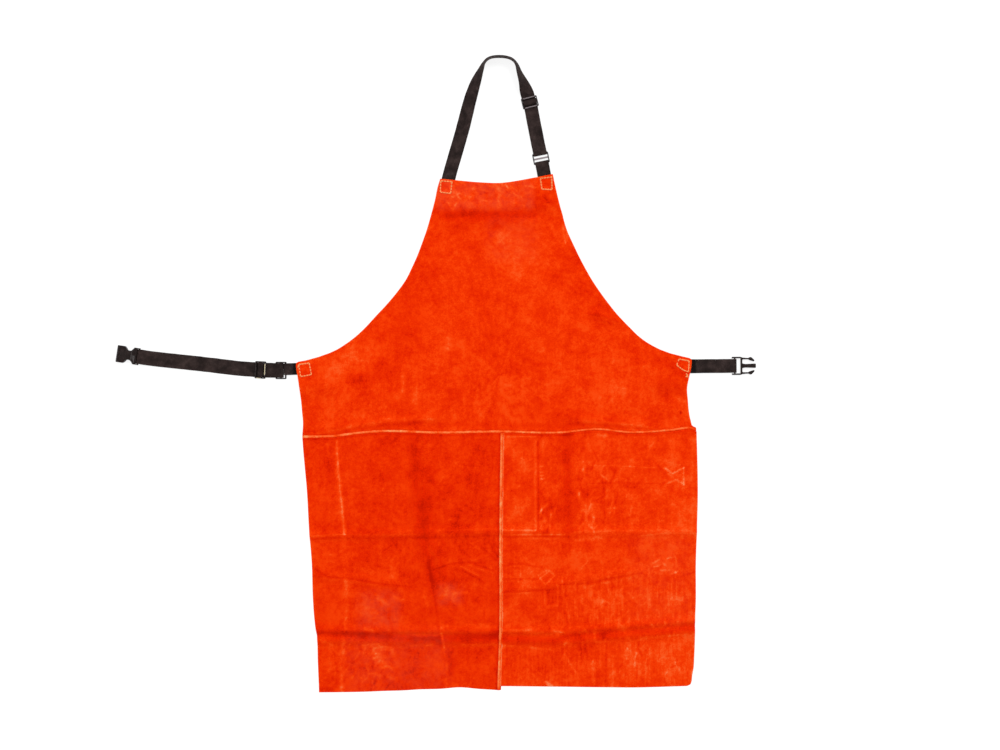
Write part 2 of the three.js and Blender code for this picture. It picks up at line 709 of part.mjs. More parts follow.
function rectangle(target, x0, x1, halfWidth, corner) {
  target.moveTo(x0 + corner, -halfWidth);
  target.lineTo(x1 - corner, -halfWidth);
  target.lineTo(x1, -halfWidth + corner);
  target.lineTo(x1, halfWidth - corner);
  target.lineTo(x1 - corner, halfWidth);
  target.lineTo(x0 + corner, halfWidth);
  target.lineTo(x0, halfWidth - corner);
  target.lineTo(x0, -halfWidth + corner);
  target.closePath();
  return target;
}

function frameGeometry(webbingWidth) {
  const slotHalfWidth = (webbingWidth + SLOT_PLAY) / 2;
  const slotNear = FRAME.centreBar / 2;
  const slotFar = slotNear + FRAME.slotLength;
  const end = slotFar + FRAME.outerBar;
  const shape = rectangle(new THREE.Shape(), -end, end, slotHalfWidth + FRAME.side, FRAME.corner);
  shape.holes.push(rectangle(new THREE.Path(), slotNear, slotFar, slotHalfWidth, FRAME.slotCorner));
  shape.holes.push(rectangle(new THREE.Path(), -slotFar, -slotNear, slotHalfWidth, FRAME.slotCorner));
  return plateGeometry(shape, FRAME.thickness, FRAME.bevel);
}

// The round bar that the webbing turns on, between two rails this far either side of its middle.
function barSolid(railInside) {
  const length = 2 * (railInside + BAR_BURY);
  return toSolid(new THREE.CylinderGeometry(BUCKLE_BAR.radius, BUCKLE_BAR.radius, length, BUCKLE_BAR.sides));
}

// Both sides of a half outline, the lower one read forwards and the upper one back again.
function bothSides(half) {
  const lower = half.map((row) => new THREE.Vector2(row.along, -row.half));
  const upper = half.map((row) => new THREE.Vector2(row.along, row.half));
  return [...lower, ...upper.reverse()];
}

// The socket's mouth faces -X and its bar lies on the origin.
function socketGeometry() {
  const { thickness, wall, mouth, halfWidth, railHalfHeight, wallFace, cavityEnd, cavityHalfWidth } = SOCKET;
  const cavityHalf = thickness / 2 - wall;
  const slotHalf = (WAIST_WIDTH + SLOT_PLAY) / 2;
  const wide = 2 * halfWidth;
  const body = toSolid(plateGeometry(new THREE.Shape(bothSides(SOCKET_OUTLINE)), thickness, SOCKET.bevel));
  const cavity = boxSolid(2 * mouth, cavityEnd, -cavityHalfWidth, cavityHalfWidth, -cavityHalf, cavityHalf);
  const window = boxSolid(wallFace, wide, -slotHalf, slotHalf, -thickness, thickness);
  const aboveRails = boxSolid(wallFace, wide, -wide, wide, railHalfHeight, thickness);
  const belowRails = boxSolid(wallFace, wide, -wide, wide, -thickness, -railHalfHeight);
  const cut = body.subtract(cavity).subtract(window).subtract(aboveRails).subtract(belowRails);
  return fromSolid(cut.add(barSolid(slotHalf)));
}

// The plug's prongs point to +X and its bar lies on the origin.
function plugGeometry() {
  const { railStart, railInside, baseNear } = PLUG;
  const inside = [
    { along: railStart, half: railInside },
    { along: baseNear, half: railInside },
  ];
  const shape = new THREE.Shape([...bothSides(PLUG_OUTLINE), ...bothSides(inside).reverse()]);
  const body = toSolid(plateGeometry(shape, PLUG.thickness, PLUG.bevel));
  return fromSolid(body.add(barSolid(railInside)));
}

// Assembly

const apron = new THREE.Group();

function addPiece(parent, name, geometry, finish) {
  const piece = new THREE.Mesh(geometry, finish());
  piece.name = name;
  parent.add(piece);
}

// A piece of hardware on a strap, turned to the strap's heading there.
function addOnStrap(plan, distance, height, name, geometry) {
  const { place, tangent } = plan.at(distance);
  const seat = new THREE.Group();
  seat.position.set(place.x, place.y, height);
  seat.rotation.z = Math.atan2(tangent.y, tangent.x);
  addPiece(seat, name, geometry, plasticFinish);
  apron.add(seat);
}

addPiece(apron, 'bib_panel', hideGeometry(bibGrid()), hideFinish);
addPiece(apron, 'skirt_left', hideGeometry(leftSkirtGrid()), hideFinish);
addPiece(apron, 'skirt_right', hideGeometry(rightSkirtGrid()), hideFinish);
addPiece(apron, 'waist_welt', waistWeltGeometry(), weltFinish);
addPiece(apron, 'centre_welt', centreWeltGeometry(), weltFinish);
addPiece(apron, 'neck_strap', neckStrapGeometry(), webbingFinish);
addPiece(apron, 'neck_tab', neckTabGeometry(), webbingFinish);
addPiece(apron, 'waist_strap', waistStrapGeometry(), webbingFinish);
addPiece(apron, 'waist_tab_left', leftTabGeometry(), webbingFinish);
addPiece(apron, 'waist_tab_right', rightTabGeometry(), webbingFinish);
addOnStrap(neckPlan, neckSlider, SLIDER_HEIGHT, 'neck_slider', frameGeometry(NECK_WIDTH));
addOnStrap(neckPlan, neckRing, RING_HEIGHT, 'neck_ring', frameGeometry(NECK_WIDTH));
addOnStrap(waistPlan, waistSlider, SLIDER_HEIGHT, 'waist_slider', frameGeometry(WAIST_WIDTH));
addOnStrap(waistPlan, waistRing, RING_HEIGHT, 'waist_ring', frameGeometry(WAIST_WIDTH));
addOnStrap(waistPlan, 0, SOCKET_HEIGHT, 'buckle_socket', socketGeometry());
addOnStrap(rightPlan, rightPlan.length, PLUG_HEIGHT, 'buckle_plug', plugGeometry());

export default apron;
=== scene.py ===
"""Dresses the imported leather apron: suede hide, seam welts, webbing, hardware and thread."""

import logging
import math
from dataclasses import dataclass, field
from enum import Enum
from functools import partial, reduce
from typing import Callable, Sequence

import bmesh
import bpy
import numpy as np
from bpy.types import Material, Mesh, Node, NodeSocket, NodeTree, Object
from mathutils import Matrix, Vector


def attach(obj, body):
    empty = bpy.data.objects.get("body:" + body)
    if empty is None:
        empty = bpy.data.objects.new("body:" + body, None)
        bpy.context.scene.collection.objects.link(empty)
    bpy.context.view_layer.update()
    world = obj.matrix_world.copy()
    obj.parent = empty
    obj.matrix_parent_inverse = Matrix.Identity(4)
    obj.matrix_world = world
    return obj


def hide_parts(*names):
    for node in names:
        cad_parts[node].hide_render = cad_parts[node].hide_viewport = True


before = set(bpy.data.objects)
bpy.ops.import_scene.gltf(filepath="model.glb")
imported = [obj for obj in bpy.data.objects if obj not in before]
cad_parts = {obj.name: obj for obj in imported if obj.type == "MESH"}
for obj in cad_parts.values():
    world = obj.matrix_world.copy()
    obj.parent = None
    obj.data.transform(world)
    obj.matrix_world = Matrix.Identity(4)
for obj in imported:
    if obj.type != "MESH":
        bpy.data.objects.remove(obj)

LOG = logging.getLogger("apron")
MM = 0.001
BODY = "root"
LIGHT_LEVEL = 1.2  # how much brighter than its own colour the studio shows a matt face
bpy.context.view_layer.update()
Array = np.ndarray
Point = tuple[float, float]


class Slot(Enum):
    """Names of material slots."""

    HIDE = "hide"
    WELT = "welt"
    WEBBING = "webbing"
    PLASTIC = "plastic"


class Crease(Enum):
    """How a fold lies: standing up, or pressed down between two raised shoulders."""

    RIDGE = "ridge"
    VALLEY = "valley"


class Turn(Enum):
    """Angles of a strap's side view, in radians."""

    RIGHT = 0.0
    UP = math.pi / 2
    LEFT = math.pi
    DOWN = -math.pi / 2
    UNDER = 1.5 * math.pi
    BACK = -math.pi


# Outline of the hide, in millimetres: height, left edge and right edge of each section.
BIB_SECTIONS = (
    (345, -105, 92.6), (330, -109.5, 95.8), (308, -114, 101.8), (296, -117, 105.3), (283, -120.5, 109.5),
    (269, -124.5, 113), (251, -130, 119), (230, -137.5, 128.5), (209, -145.5, 138.5),
    (188, -155, 149.5), (167, -165.5, 161.5), (146, -180.5, 175.5), (125, -198, 191),
    (104, -217.6, 208), (83, -237, 228.3), (68, -253, 243.7), (54.5, -271, 262.6), (40.5, -294.5, 291.4),
    (33, -315, 318), (29.5, -324, 333.4), (27, -332.5, 335.8), (25, -344.5, 336.2), (23.5, -353, 336.3),
    (21.5, -357, 336.3), (18.5, -357.9, 335.9), (10, -357.4, 334.9), (-2, -355.3, 332.2),
    (-23, -352.2, 328.4), (-44, -349.5, 330), (-65, -347.5, 331.5), (-80, -346, 333.2),
    (-91, -346.5, 335.6), (-98, -347, 338), (-100, -347, 344.4),
)
SKIRT_SECTIONS = (
    (-100, -347, 345.2), (-142, -344.5, 346.5), (-206, -339, 347.5), (-269, -335.5, 346),
    (-332, -330.5, 344), (-395, -328.5, 344), (-438, -325, 342.5), (-459, -321.5, 342.5),
    (-501, -320, 341), (-515, -319.4, 340.2), (-531, -318.6, 337.6), (-545, -318, 335.5),
    (-548.5, -318, 332.8), (-550, -318, 328),
)

# Edges and seams that run across, as x and y, and the centre seam as y and x.
TOP_EDGE = ((-105, 344.5), (-35, 338.5), (0, 337.5), (35, 342), (95, 353))
WAIST_SEAM = (
    (-347, -108.5), (-288, -107), (-255, -102.5), (-200, -98.5), (-120, -101), (0, -99.5),
    (105, -101), (170, -95), (228, -100.5), (302, -96.4), (330, -92.8), (337, -93.4), (344.5, -96.5),
)
CENTRE_SEAM = ((-100, 3.5), (-290, 1), (-437, 1), (-555, -2.5))
LEFT_HEM = (
    (-318, -557.4), (-285, -557.2), (-240, -556.4), (-205, -555), (-169, -553.9), (-144, -552.3),
    (-105, -551.2), (-70, -548.7), (-35, -551.5), (0, -553.5),
)
RIGHT_HEM = ((0, -546.4), (60, -547), (130, -547.8), (240, -548.8), (275, -548), (310, -546.8), (336, -546))

# Straps from above: x, y and the roll in degrees by which the webbing stands on its edge.
NECK_PLAN = (
    (-97, 316, 0), (-88.5, 352, 0), (-68, 423, 4), (-59, 457, 12), (-52, 484, 21),
    (-43, 512, 38), (-34, 534, 61), (-28.5, 546, 72), (-19, 554.8, 70), (0, 557.6, 68.5),
    (19, 554, 70), (28.3, 545.5, 73), (34.2, 530, 64), (42, 511, 41), (46.5, 497.5, 12),
    (49.3, 489, 0), (52.5, 478, 0), (62, 430, 0), (72, 380, 0), (83, 325, 0),
)
WAIST_PLAN = ((-634, 32.2, 0), (-610, 28.6, 0), (-530, 20, 0), (-445, 10.5, 0), (-384, 8, 0), (-330, 10, 0))
RIGHT_PLAN = ((310, 15, 0), (412, 16, 0))

# Creases, imprints and scuffs: reach in millimetres, tone from dark to pale, rise, and corners of the line.
# Dark tones along folds and creases are painted shade, pale tones on raised ridges are partly painted
# highlight, and the rest are imprints, scuffs and stains.
BIB_MARKS = (
    (9.4, -0.62, 0, (-92, 280), (1, 282), (58, 280)), (11, -0.28, 0, (75, 318), (76, 290)),
    (17, 0.24, 0, (-282, 12), (-258, 32)), (7, 0.24, 0, (-235, 42), (-233, 20)),
    (6, 0.12, 0, (-322, -3), (-262, 0)), (14, -0.26, 0, (-252, -6), (-188, 12)),
    (22, -0.22, 0, (-158, 130), (-140, 95)), (14, -0.2, 0, (-18, 308), (16, 308)),
    (4, 0.28, 0, (-171, 2), (-171, -28)), (4, 0.24, 0, (-93, 64), (-93, 46)),
    (2.2, 0.45, 0, (111, 262), (112, 246), (115, 232)), (4, 0.36, 0, (90, 263), (95, 254)),
    (3.4, 0.3, 0, (92, 292), (96, 284)), (16, 0.15, 0, (-80, 318), (60, 318)),
    (4.5, 0.45, 0, (-2, 330), (-2, 293)), (5.3, 0.4, 0, (1, 250), (1, 236)),
    (2.3, 0.5, 0.15, (-101, 296), (-92, 303), (-83, 289), (-76, 301)),
    (2.5, -0.35, 0.3, (150, 108), (177, 105), (208, 94)),
    (2.3, -0.25, 0.2, (159, 99), (187, 94), (212, 83)), (2.3, 0.35, 0, (120, 257), (117, 236), (108, 224)),
    (2.1, 0.35, 0.3, (-319, -103), (-271, -93), (-228, -84), (-175, -79), (-113, -77)),
    (2.8, -0.3, -0.1, (-312, -105), (-263, -97), (-201, -88), (-122, -83)),
    (1.8, 0.2, 0.15, (-271, -89), (-210, -78), (-148, -73)),
    (2.1, 0.3, 0.3, (129, -80), (177, -83), (229, -87), (268, -92)),
    (2.8, -0.3, -0.1, (124, -87), (177, -89), (247, -94)),
    (1.8, 0.2, 0, (185, -92), (247, -98), (308, -94)), (3.5, 0.35, 0, (-170, 6), (-170, -29)),
    (4.2, 0.2, 0, (-147, -15), (-147, -62)), (3.5, 0.25, 0, (-92, 68), (-90, 47)),
    (5.3, 0.16, 0, (-305, 4), (-301, -62)), (7, 0.18, 0, (198, 52), (198, -48)),
    (6, 0.2, 0, (250, 15), (247, -59)), (2.8, -0.2, 0, (136, -10), (115, -48)),
    (3.5, -0.15, 0, (126, 78), (106, 4)), (10.5, 0.22, 0, (-266, 41), (-245, 24)),
    (7, 0.3, 0, (303, -36), (319, -45)), (5.3, 0.22, 0, (-78, -66), (-75, -71)),
    (5.3, 0.22, 0, (-34, -68), (-31, -71)), (7, -0.16, 0, (62, -48), (106, -66)),
    (5.6, -0.22, 0, (-166, -89), (-69, -87), (36, -89), (124, -89)), (3.2, 0.3, 0, (1, -80), (1, -94)),
    (1.6, -1.6, 0, (317, -65), (318, -67)), (34, 0.42, 0, (42, 232), (46, 200)),
    (26, 0.14, 0, (-70, 205), (-90, 190)), (34, -0.24, 0, (-185, 75), (-160, 50)),
    (34, 0.24, 0, (80, 50), (110, 20)), (26, 0.22, 0, (-190, -45), (-120, -60)),
    (24, -0.2, 0, (60, -75), (150, -75)), (22, 0.24, 0, (228, -35), (232, -80)),
    (16, -0.15, 0, (-318, -10), (-312, -45)),
)
LEFT_MARKS = (
    (3, 0.66, 0.3, (-287, -117), (-284, -168), (-278, -226), (-273, -278)),
    (5.2, 0.26, 0, (-290, -131), (-286, -185), (-281, -229), (-276, -277)),
    (1.4, 0.5, 0.25, (-329, -283), (-298, -281), (-271, -280)),
    (1.4, 0.25, 0.2, (-271, -280), (-210, -281), (-140, -280)),
    (1.4, 0.35, 0.2, (-113, -273), (-52, -271), (-3, -271)), (1.8, -0.4, 0, (-328, -288), (-280, -286)),
    (1.8, -0.25, 0, (-271, -286), (-122, -286), (-3, -282)),
    (10.5, -0.3, 0, (-155, -101), (-152, -150), (-145, -203), (-134, -278)),
    (3.9, -0.1, 0, (-148, -115), (-147, -203)), (4.4, -0.25, 0, (-126, -182), (-110, -194)),
    (4.5, -0.1, 0, (-136, -300), (-127, -326), (-122, -349)),
    (2.6, -0.26, -0.3, (-121, -356), (-114, -391), (-107, -451)),
    (10.5, -0.14, 0, (-133, -291), (-122, -343), (-110, -414)),
    (20, -0.15, 0, (-142, -215), (-138, -280), (-132, -420)),
    (3.6, -0.36, -0.15, (-124, -330), (-123, -345), (-121, -360)), (10, -0.16, 0, (-14, -330), (-12, -440)),
    (2.1, -0.12, 0, (-125, -322), (-122, -352), (-117, -387)), (2.1, 0.9, 0.3, (-103, -454), (-98, -479)),
    (2.1, 0.25, 0, (-98, -479), (-93, -516), (-94, -554)),
    (8, -0.5, 0, (-90, -488), (-84, -510), (-86, -524)),
    (1.9, -0.45, -0.25, (-324, -341), (-304, -354), (-254, -358), (-213, -366), (-157, -372)),
    (2.1, 0.22, 0, (-308, -358), (-254, -364), (-217, -370)),
    (4.2, 0.46, 0, (-271, -359), (-270, -405), (-271, -445)),
    (3.8, 0.5, 0, (-273, -466), (-278, -510), (-278, -558)), (5.3, 0.2, 0, (-277, -291), (-275, -326)),
    (2.8, 0.35, 0, (-307, -328), (-291, -328)),
    (1.9, -0.4, -0.2, (-117, -342), (-89, -332), (-66, -329), (-27, -330)),
    (4.4, -0.25, 0, (-117, -338), (-115, -361)), (1.5, 0.5, 0.2, (-69, -336), (-34, -354)),
    (1.5, -0.5, 0, (-66, -343), (-27, -365)), (1.5, 0.45, 0.2, (-55, -333), (-20, -347)),
    (1.5, -0.42, 0, (-45, -331), (-13, -343)), (1.6, -0.4, 0, (-34, -300), (-6, -326)),
    (1.6, 0.25, 0, (-48, -296), (-13, -329)), (2.1, -0.5, 0, (-20, -293), (-3, -319)),
    (2.1, 0.35, 0, (-17, -335), (-13, -352)), (2.4, 0.45, 0, (-106, -389), (-93, -386)),
    (2.4, 0.45, 0, (-81, -384), (-58, -382)), (2.4, 0.45, 0, (-97, -366), (-91, -378)),
    (2.4, 0.45, 0, (-84, -392), (-80, -400)), (2.4, 0.4, 0, (-104, -373), (-95, -380)),
    (9.5, 0.42, 0, (-93, -385), (-82, -386)), (3.5, 0.3, 0, (-87, -340), (-76, -349)),
    (6.4, -0.4, -0.15, (-319, -453), (-280, -454), (-242, -457)),
    (7.6, -0.66, -0.2, (-242, -456), (-184, -461), (-110, -464)),
    (8.6, -0.64, -0.2, (-101, -462), (-52, -461), (-1, -459)), (3, -0.16, 0, (-158, -463), (-112, -462)),
    (1.8, 0.35, 0, (-315, -465), (-293, -475)), (2.1, 0.35, 0, (-240, -474), (-213, -472)),
    (2.3, 0.4, 0, (-157, -475), (-119, -474)), (1.9, 0.4, 0.2, (-66, -474), (-4, -473)),
    (1.9, 0.4, 0, (-152, -456), (-110, -457)), (3.2, 0.3, 0, (-66, -437), (-10, -442)),
    (2.5, 0.5, 0, (-103, -444), (-92, -440)), (2.8, 0.55, 0, (-238, -445), (-224, -450)),
    (5.2, 0.56, 0, (-217, -477), (-193, -480), (-186, -492)), (8, 0.52, 0, (-224, -488), (-201, -509)),
    (2.8, 0.5, 0, (-235, -514), (-229, -523), (-208, -528)), (5, 0.5, 0, (-196, -530), (-185, -535)),
    (4.6, 0.66, 0, (-213, -393), (-201, -400)), (4.6, 0.62, 0, (-185, -391), (-173, -396)),
    (6, 0.36, 0, (-192, -326), (-189, -352)), (11, 0.42, 0, (-231, -414), (-201, -440)),
    (3.9, 0.35, 0, (-231, -340), (-222, -347)), (2.5, 0.3, 0, (-134, -379), (-126, -414)),
    (2.3, 0.22, 0, (-166, -516), (-140, -551)), (5, -0.24, 0, (-108, -311), (-120, -324)),
    (2.1, 0.3, 0, (-59, -554), (-45, -530)), (14, -0.24, 0, (-124, -170), (-122, -285)),
    (16, 0.15, 0, (-270, -325), (-260, -345)), (14, -0.15, 0, (-320, -395), (-320, -440)),
    (20, -0.12, 0, (-290, -540), (-180, -540)),
)
RIGHT_MARKS = (
    (1.6, 0.5, 0.2, (13, -108), (63, -108)), (2.8, 0.34, 0, (62, -117), (62, -185), (63, -271)),
    (1.6, -0.5, -0.3, (67, -117), (67, -273)), (1.6, 0.5, 0.2, (4, -272), (62, -273)),
    (15.8, 0.14, 0, (38, -119), (38, -266)), (1.4, 0.4, 0.2, (15, -281), (115, -280)),
    (1.4, 0.4, 0.2, (31, -287), (101, -287)), (1.6, 0.3, 0.2, (150, -276), (198, -273), (247, -273)),
    (1.8, 0.3, 0, (247, -273), (338, -273)), (1.8, 0.3, 0.2, (243, -283), (291, -277), (342, -278)),
    (1.6, -0.3, 0, (4, -284), (124, -284)), (1.8, 0.3, 0, (124, -278), (150, -273)),
    (3.9, 0.35, 0, (133, -291), (177, -286)), (1.6, 0.6, 0, (71, -161), (76, -160)),
    (1.6, 0.55, 0, (71, -171), (76, -170)), (1.6, 0.55, 0, (71, -176), (76, -176)),
    (1.6, 0.6, 0, (70, -183), (77, -182)), (2.5, 0.2, 0, (75, -115), (75, -154)),
    (2.6, 0.26, 0, (76, -221), (71, -242), (80, -252), (73, -270)), (2.1, 0.25, 0, (89, -245), (87, -270)),
    (10, -0.4, 0, (118, -105), (118, -185), (120, -275)), (3.9, -0.3, 0, (103, -105), (127, -105)),
    (1.8, 0.35, 0, (134, -152), (159, -153), (145, -166)), (1.6, 0.35, 0, (147, -166), (148, -182)),
    (1.6, 0.35, 0, (161, -168), (161, -184)), (1.6, -0.3, 0, (168, -168), (170, -184)),
    (1.8, 0.65, 0, (181, -161), (177, -170)), (1.8, 0.5, 0, (177, -175), (187, -183)),
    (1.6, 0.35, 0, (187, -163), (189, -173)), (1.4, 0.3, 0.15, (159, -158), (212, -160), (273, -163)),
    (1.4, -0.32, 0, (159, -190), (229, -189), (296, -192)), (10.5, 0.14, 0, (221, -168), (247, -182)),
    (1.6, -0.4, 0, (270, -152), (286, -168)), (1.8, 0.55, 0.2, (289, -163), (303, -173), (323, -163)),
    (1.8, 0.5, 0.2, (323, -163), (322, -175), (323, -192)),
    (1.8, 0.5, 0.2, (323, -192), (310, -184), (289, -192)), (2.5, 0.3, 0, (293, -170), (303, -180)),
    (1.8, 0.35, 0, (187, -203), (187, -235), (206, -233)), (1.6, -0.35, 0, (166, -221), (184, -213)),
    (2.1, 0.35, 0, (150, -221), (152, -256), (163, -273)), (4.4, 0.22, 0, (138, -203), (140, -215)),
    (2.5, 0.35, 0, (166, -249), (161, -268)), (1.6, -0.4, 0, (164, -133), (173, -152)),
    (3.5, 0.3, 0, (155, -110), (157, -133)), (2.8, 0.4, 0, (171, -105), (185, -107)),
    (6.1, 0.16, 0, (229, -108), (228, -273)), (8.8, -0.15, 0, (303, -199), (310, -212)),
    (4.4, 0.2, 0, (338, -108), (338, -273)), (1.8, -0.3, 0, (4, -335), (36, -331), (73, -338)),
    (1.8, -0.35, 0, (4, -358), (36, -358), (66, -359)),
    (1.4, 0.3, 0, (18, -335), (36, -336), (36, -356), (18, -356), (18, -335)),
    (1.6, 0.5, 0.2, (70, -357), (87, -344), (96, -352), (80, -368), (70, -357)),
    (2.1, 0.35, 0, (68, -352), (82, -343)), (1.8, -0.32, -0.2, (6, -381), (54, -379), (99, -376)),
    (1.8, 0.25, 0, (6, -385), (54, -382)), (1.6, 0.42, 0.2, (79, -379), (79, -406), (101, -405)),
    (1.6, 0.35, 0.2, (101, -405), (101, -380)), (1.4, -0.3, 0, (85, -382), (86, -400)),
    (1.4, -0.3, 0, (92, -382), (93, -400)),
    (1.9, -0.32, -0.2, (103, -368), (143, -367), (187, -359), (228, -351), (249, -347)),
    (2.5, 0.25, 0, (148, -372), (187, -365), (229, -356)), (1.8, 0.35, 0, (103, -370), (110, -361)),
    (1.8, -0.3, 0, (247, -347), (257, -352)), (1.9, -0.35, 0, (310, -356), (345, -345)),
    (1.8, 0.5, 0.2, (268, -331), (280, -324)), (1.8, 0.5, 0.2, (270, -337), (278, -335)),
    (1.8, 0.5, 0.2, (282, -343), (301, -343)), (1.8, 0.55, 0.2, (294, -322), (308, -319), (310, -331)),
    (1.8, 0.5, 0.2, (301, -349), (312, -345)), (1.8, 0.45, 0.2, (273, -347), (282, -349)),
    (1.8, 0.4, 0.2, (287, -331), (291, -335)), (9, -0.5, -0.2, (1, -462), (54, -466), (94, -467)),
    (7, -0.36, -0.2, (107, -463), (120, -459), (141, -458), (160, -457)),
    (9.4, -0.48, -0.2, (182, -457), (212, -453), (247, -449), (289, -449), (342, -441)),
    (1.9, -0.2, 0, (94, -466), (117, -457), (141, -456)),
    (1.9, -0.3, 0, (226, -444), (242, -436), (264, -442)), (1.9, 0.42, 0.2, (6, -449), (54, -447)),
    (1.9, 0.5, 0.2, (94, -449), (112, -452)), (2.1, 0.35, 0, (82, -456), (92, -456)),
    (1.8, 0.4, 0.2, (4, -475), (36, -477)), (1.8, 0.4, 0.2, (54, -478), (68, -481), (89, -481)),
    (2.5, 0.45, 0, (112, -472), (117, -470)), (2.8, 0.4, 0, (170, -468), (184, -468)),
    (2.6, 0.25, 0, (247, -463), (303, -456), (338, -456)), (2.1, 0.5, 0, (266, -438), (270, -442)),
    (3.2, 0.65, 0, (80, -539), (90, -546)), (1.8, 0.25, 0, (48, -516), (71, -540)),
    (1.8, 0.2, 0, (40, -498), (80, -533)), (6, 0.3, 0, (294, -387), (317, -393)),
    (2.8, -0.22, 0, (155, -396), (155, -435)), (2.3, 0.3, 0, (115, -493), (134, -523)),
    (2.3, 0.3, 0, (164, -484), (163, -540)), (1.9, -0.25, 0, (187, -475), (185, -546)),
    (3.2, 0.3, 0, (198, -502), (198, -551)), (2.3, 0.2, 0, (127, -379), (124, -423)),
    (22, 0.38, 0, (53, -335), (53, -360)), (20, 0.18, 0, (140, -392), (180, -400)),
    (45, 0.2, 0, (230, -410), (320, -420)), (40, 0.26, 0, (210, -505), (330, -510)),
    (18, -0.2, 0, (35, -500), (90, -505)), (30, 0.18, 0, (290, -170), (310, -250)),
    (12, -0.15, 0, (158, -110), (160, -160)),
)

# Helpers


def linear(red: int, green: int, blue: int) -> tuple[float, float, float, float]:
    """Turns a colour as it shows in the studio into the linear colour of the matter itself.

    Args:
        red: Red from 0 to 255.
        green: Green from 0 to 255.
        blue: Blue from 0 to 255.

    Returns:
        Linear red, green, blue and an alpha of 1.
    """
    shares = [channel / 255 for channel in (red, green, blue)]
    parts = [s / 12.92 if s <= 0.04045 else ((s + 0.055) / 1.055) ** 2.4 for s in shares]
    return (*(part / LIGHT_LEVEL for part in parts), 1.0)


class TableCurve:
    """A smooth curve through the rows of a table, with no bend at either end."""

    def __init__(self, rows: Sequence[Sequence[float]], column: int = 1) -> None:
        """Sorts the rows by their first column.

        Args:
            rows: The table.
            column: The column that holds the curve's values.
        """
        ordered = sorted(rows)
        self.places = np.array([row[0] for row in ordered], float)
        self.values = np.array([row[column] for row in ordered], float)

    def __call__(self, at: Array | float) -> Array:
        """Reads the curve.

        Args:
            at: Places along the table's first column.

        Returns:
            The curve's values there, held at the end values beyond the table.
        """
        places, values, last = self.places, self.values, len(self.places) - 1
        spot = np.clip(np.asarray(at, float), places[0], places[-1])
        right = np.clip(np.searchsorted(places, spot, side="right"), 1, last)
        left = right - 1
        before = np.where(right >= 2, right - 2, right)
        after = np.where(right < last, np.minimum(right + 1, last), left)
        span = places[right] - places[left]
        lead = span / 2 / (places[left] - places[before])
        trail = span / 2 / (places[after] - places[right])
        q = (spot - places[left]) / span
        weights = (
            (before, lead * (-(q**3) + 2 * q**2 - q)),
            (left, (1 + lead) * q**3 + (-1.5 - 2 * lead) * q**2 + (-0.5 + lead) * q + 1),
            (right, (-1 - trail) * q**3 + (1.5 + trail) * q**2 + 0.5 * q),
            (after, trail * (q**3 - q**2)),
        )
        return sum(weight * values[row] for row, weight in weights)


class ValueNoise:
    """Smooth random heights from 0 to 1 on a square lattice, the same on every run."""

    SIZE = 256

    def __init__(self, cell: float, seed: int) -> None:
        """Fills the lattice, whose cells are this many millimetres wide."""
        self.cell = cell
        self.lattice = np.random.default_rng(seed).random((self.SIZE, self.SIZE))

    def __call__(self, x: Array, y: Array) -> Array:
        """Reads the noise.

        Args:
            x: Places across, in millimetres.
            y: Places along, in millimetres.

        Returns:
            The height at each place.
        """
        u, v = np.asarray(x) / self.cell, np.asarray(y) / self.cell
        i, j = np.floor(u).astype(int), np.floor(v).astype(int)
        a, b = u - i, v - j
        a, b = a * a * (3 - 2 * a), b * b * (3 - 2 * b)
        near, far = i % self.SIZE, (i + 1) % self.SIZE
        below, above = j % self.SIZE, (j + 1) % self.SIZE
        low = self.lattice[near, below] * (1 - a) + self.lattice[far, below] * a
        high = self.lattice[near, above] * (1 - a) + self.lattice[far, above] * a
        return low * (1 - b) + high * b


def smooth_step(share: Array) -> Array:
    """Eases 0 to 1 in and out, and holds both ends."""
    s = np.clip(share, 0, 1)
    return s * s * (3 - 2 * s)


def distance_to_line(x: Array, y: Array, line: Sequence[Point]) -> Array:
    """Measures how far places lie from a line of straight stretches.

    Args:
        x: Places across, in millimetres.
        y: Places along, in millimetres.
        line: Corners of the line.

    Returns:
        The distance from each place to the nearest stretch.
    """
    best = np.full(np.shape(x), np.inf)
    for (x0, y0), (x1, y1) in zip(line, line[1:]):
        dx, dy = x1 - x0, y1 - y0
        along = np.clip(((x - x0) * dx + (y - y0) * dy) / max(dx * dx + dy * dy, 1e-9), 0, 1)
        best = np.minimum(best, np.hypot(x - x0 - along * dx, y - y0 - along * dy))
    return best


def link_mesh(name: str, mesh: Mesh) -> Object:
    """Links a mesh into the scene as a new object."""
    made = bpy.data.objects.new(name, mesh)
    bpy.context.scene.collection.objects.link(made)
    return made


def make_object(
    name: str, verts: Array, faces: Sequence[Sequence[int]], material: Material, sharp_deg: float = 40
) -> Object:
    """Makes a smooth-shaded mesh object at the origin.

    Args:
        name: Name of the object and its mesh.
        verts: Places in millimetres, one row each.
        faces: Corner numbers of each face, counter-clockwise from outside.
        material: Finish of the whole piece.
        sharp_deg: Edges that turn by more than this stay sharp.

    Returns:
        The new object, linked into the scene.
    """
    mesh = bpy.data.meshes.new(name)
    mesh.from_pydata((np.asarray(verts) * MM).tolist(), [], faces)
    return mesh_object(name, mesh, material, sharp_deg)


def mesh_object(name: str, mesh: Mesh, material: Material, sharp_deg: float = 40) -> Object:
    """Links a finished mesh into the scene under a name and a finish.

    Args:
        name: Name of the object and its mesh.
        mesh: Mesh in metres, with its place in its vertices.
        material: Finish of the whole piece.
        sharp_deg: Edges that turn by more than this stay sharp.

    Returns:
        The new object.
    """
    mesh.name = name
    mesh.validate()
    mesh.materials.clear()
    mesh.materials.append(material)
    mesh.shade_smooth()
    mesh.set_sharp_from_angle(angle=math.radians(sharp_deg))
    return link_mesh(name, mesh)


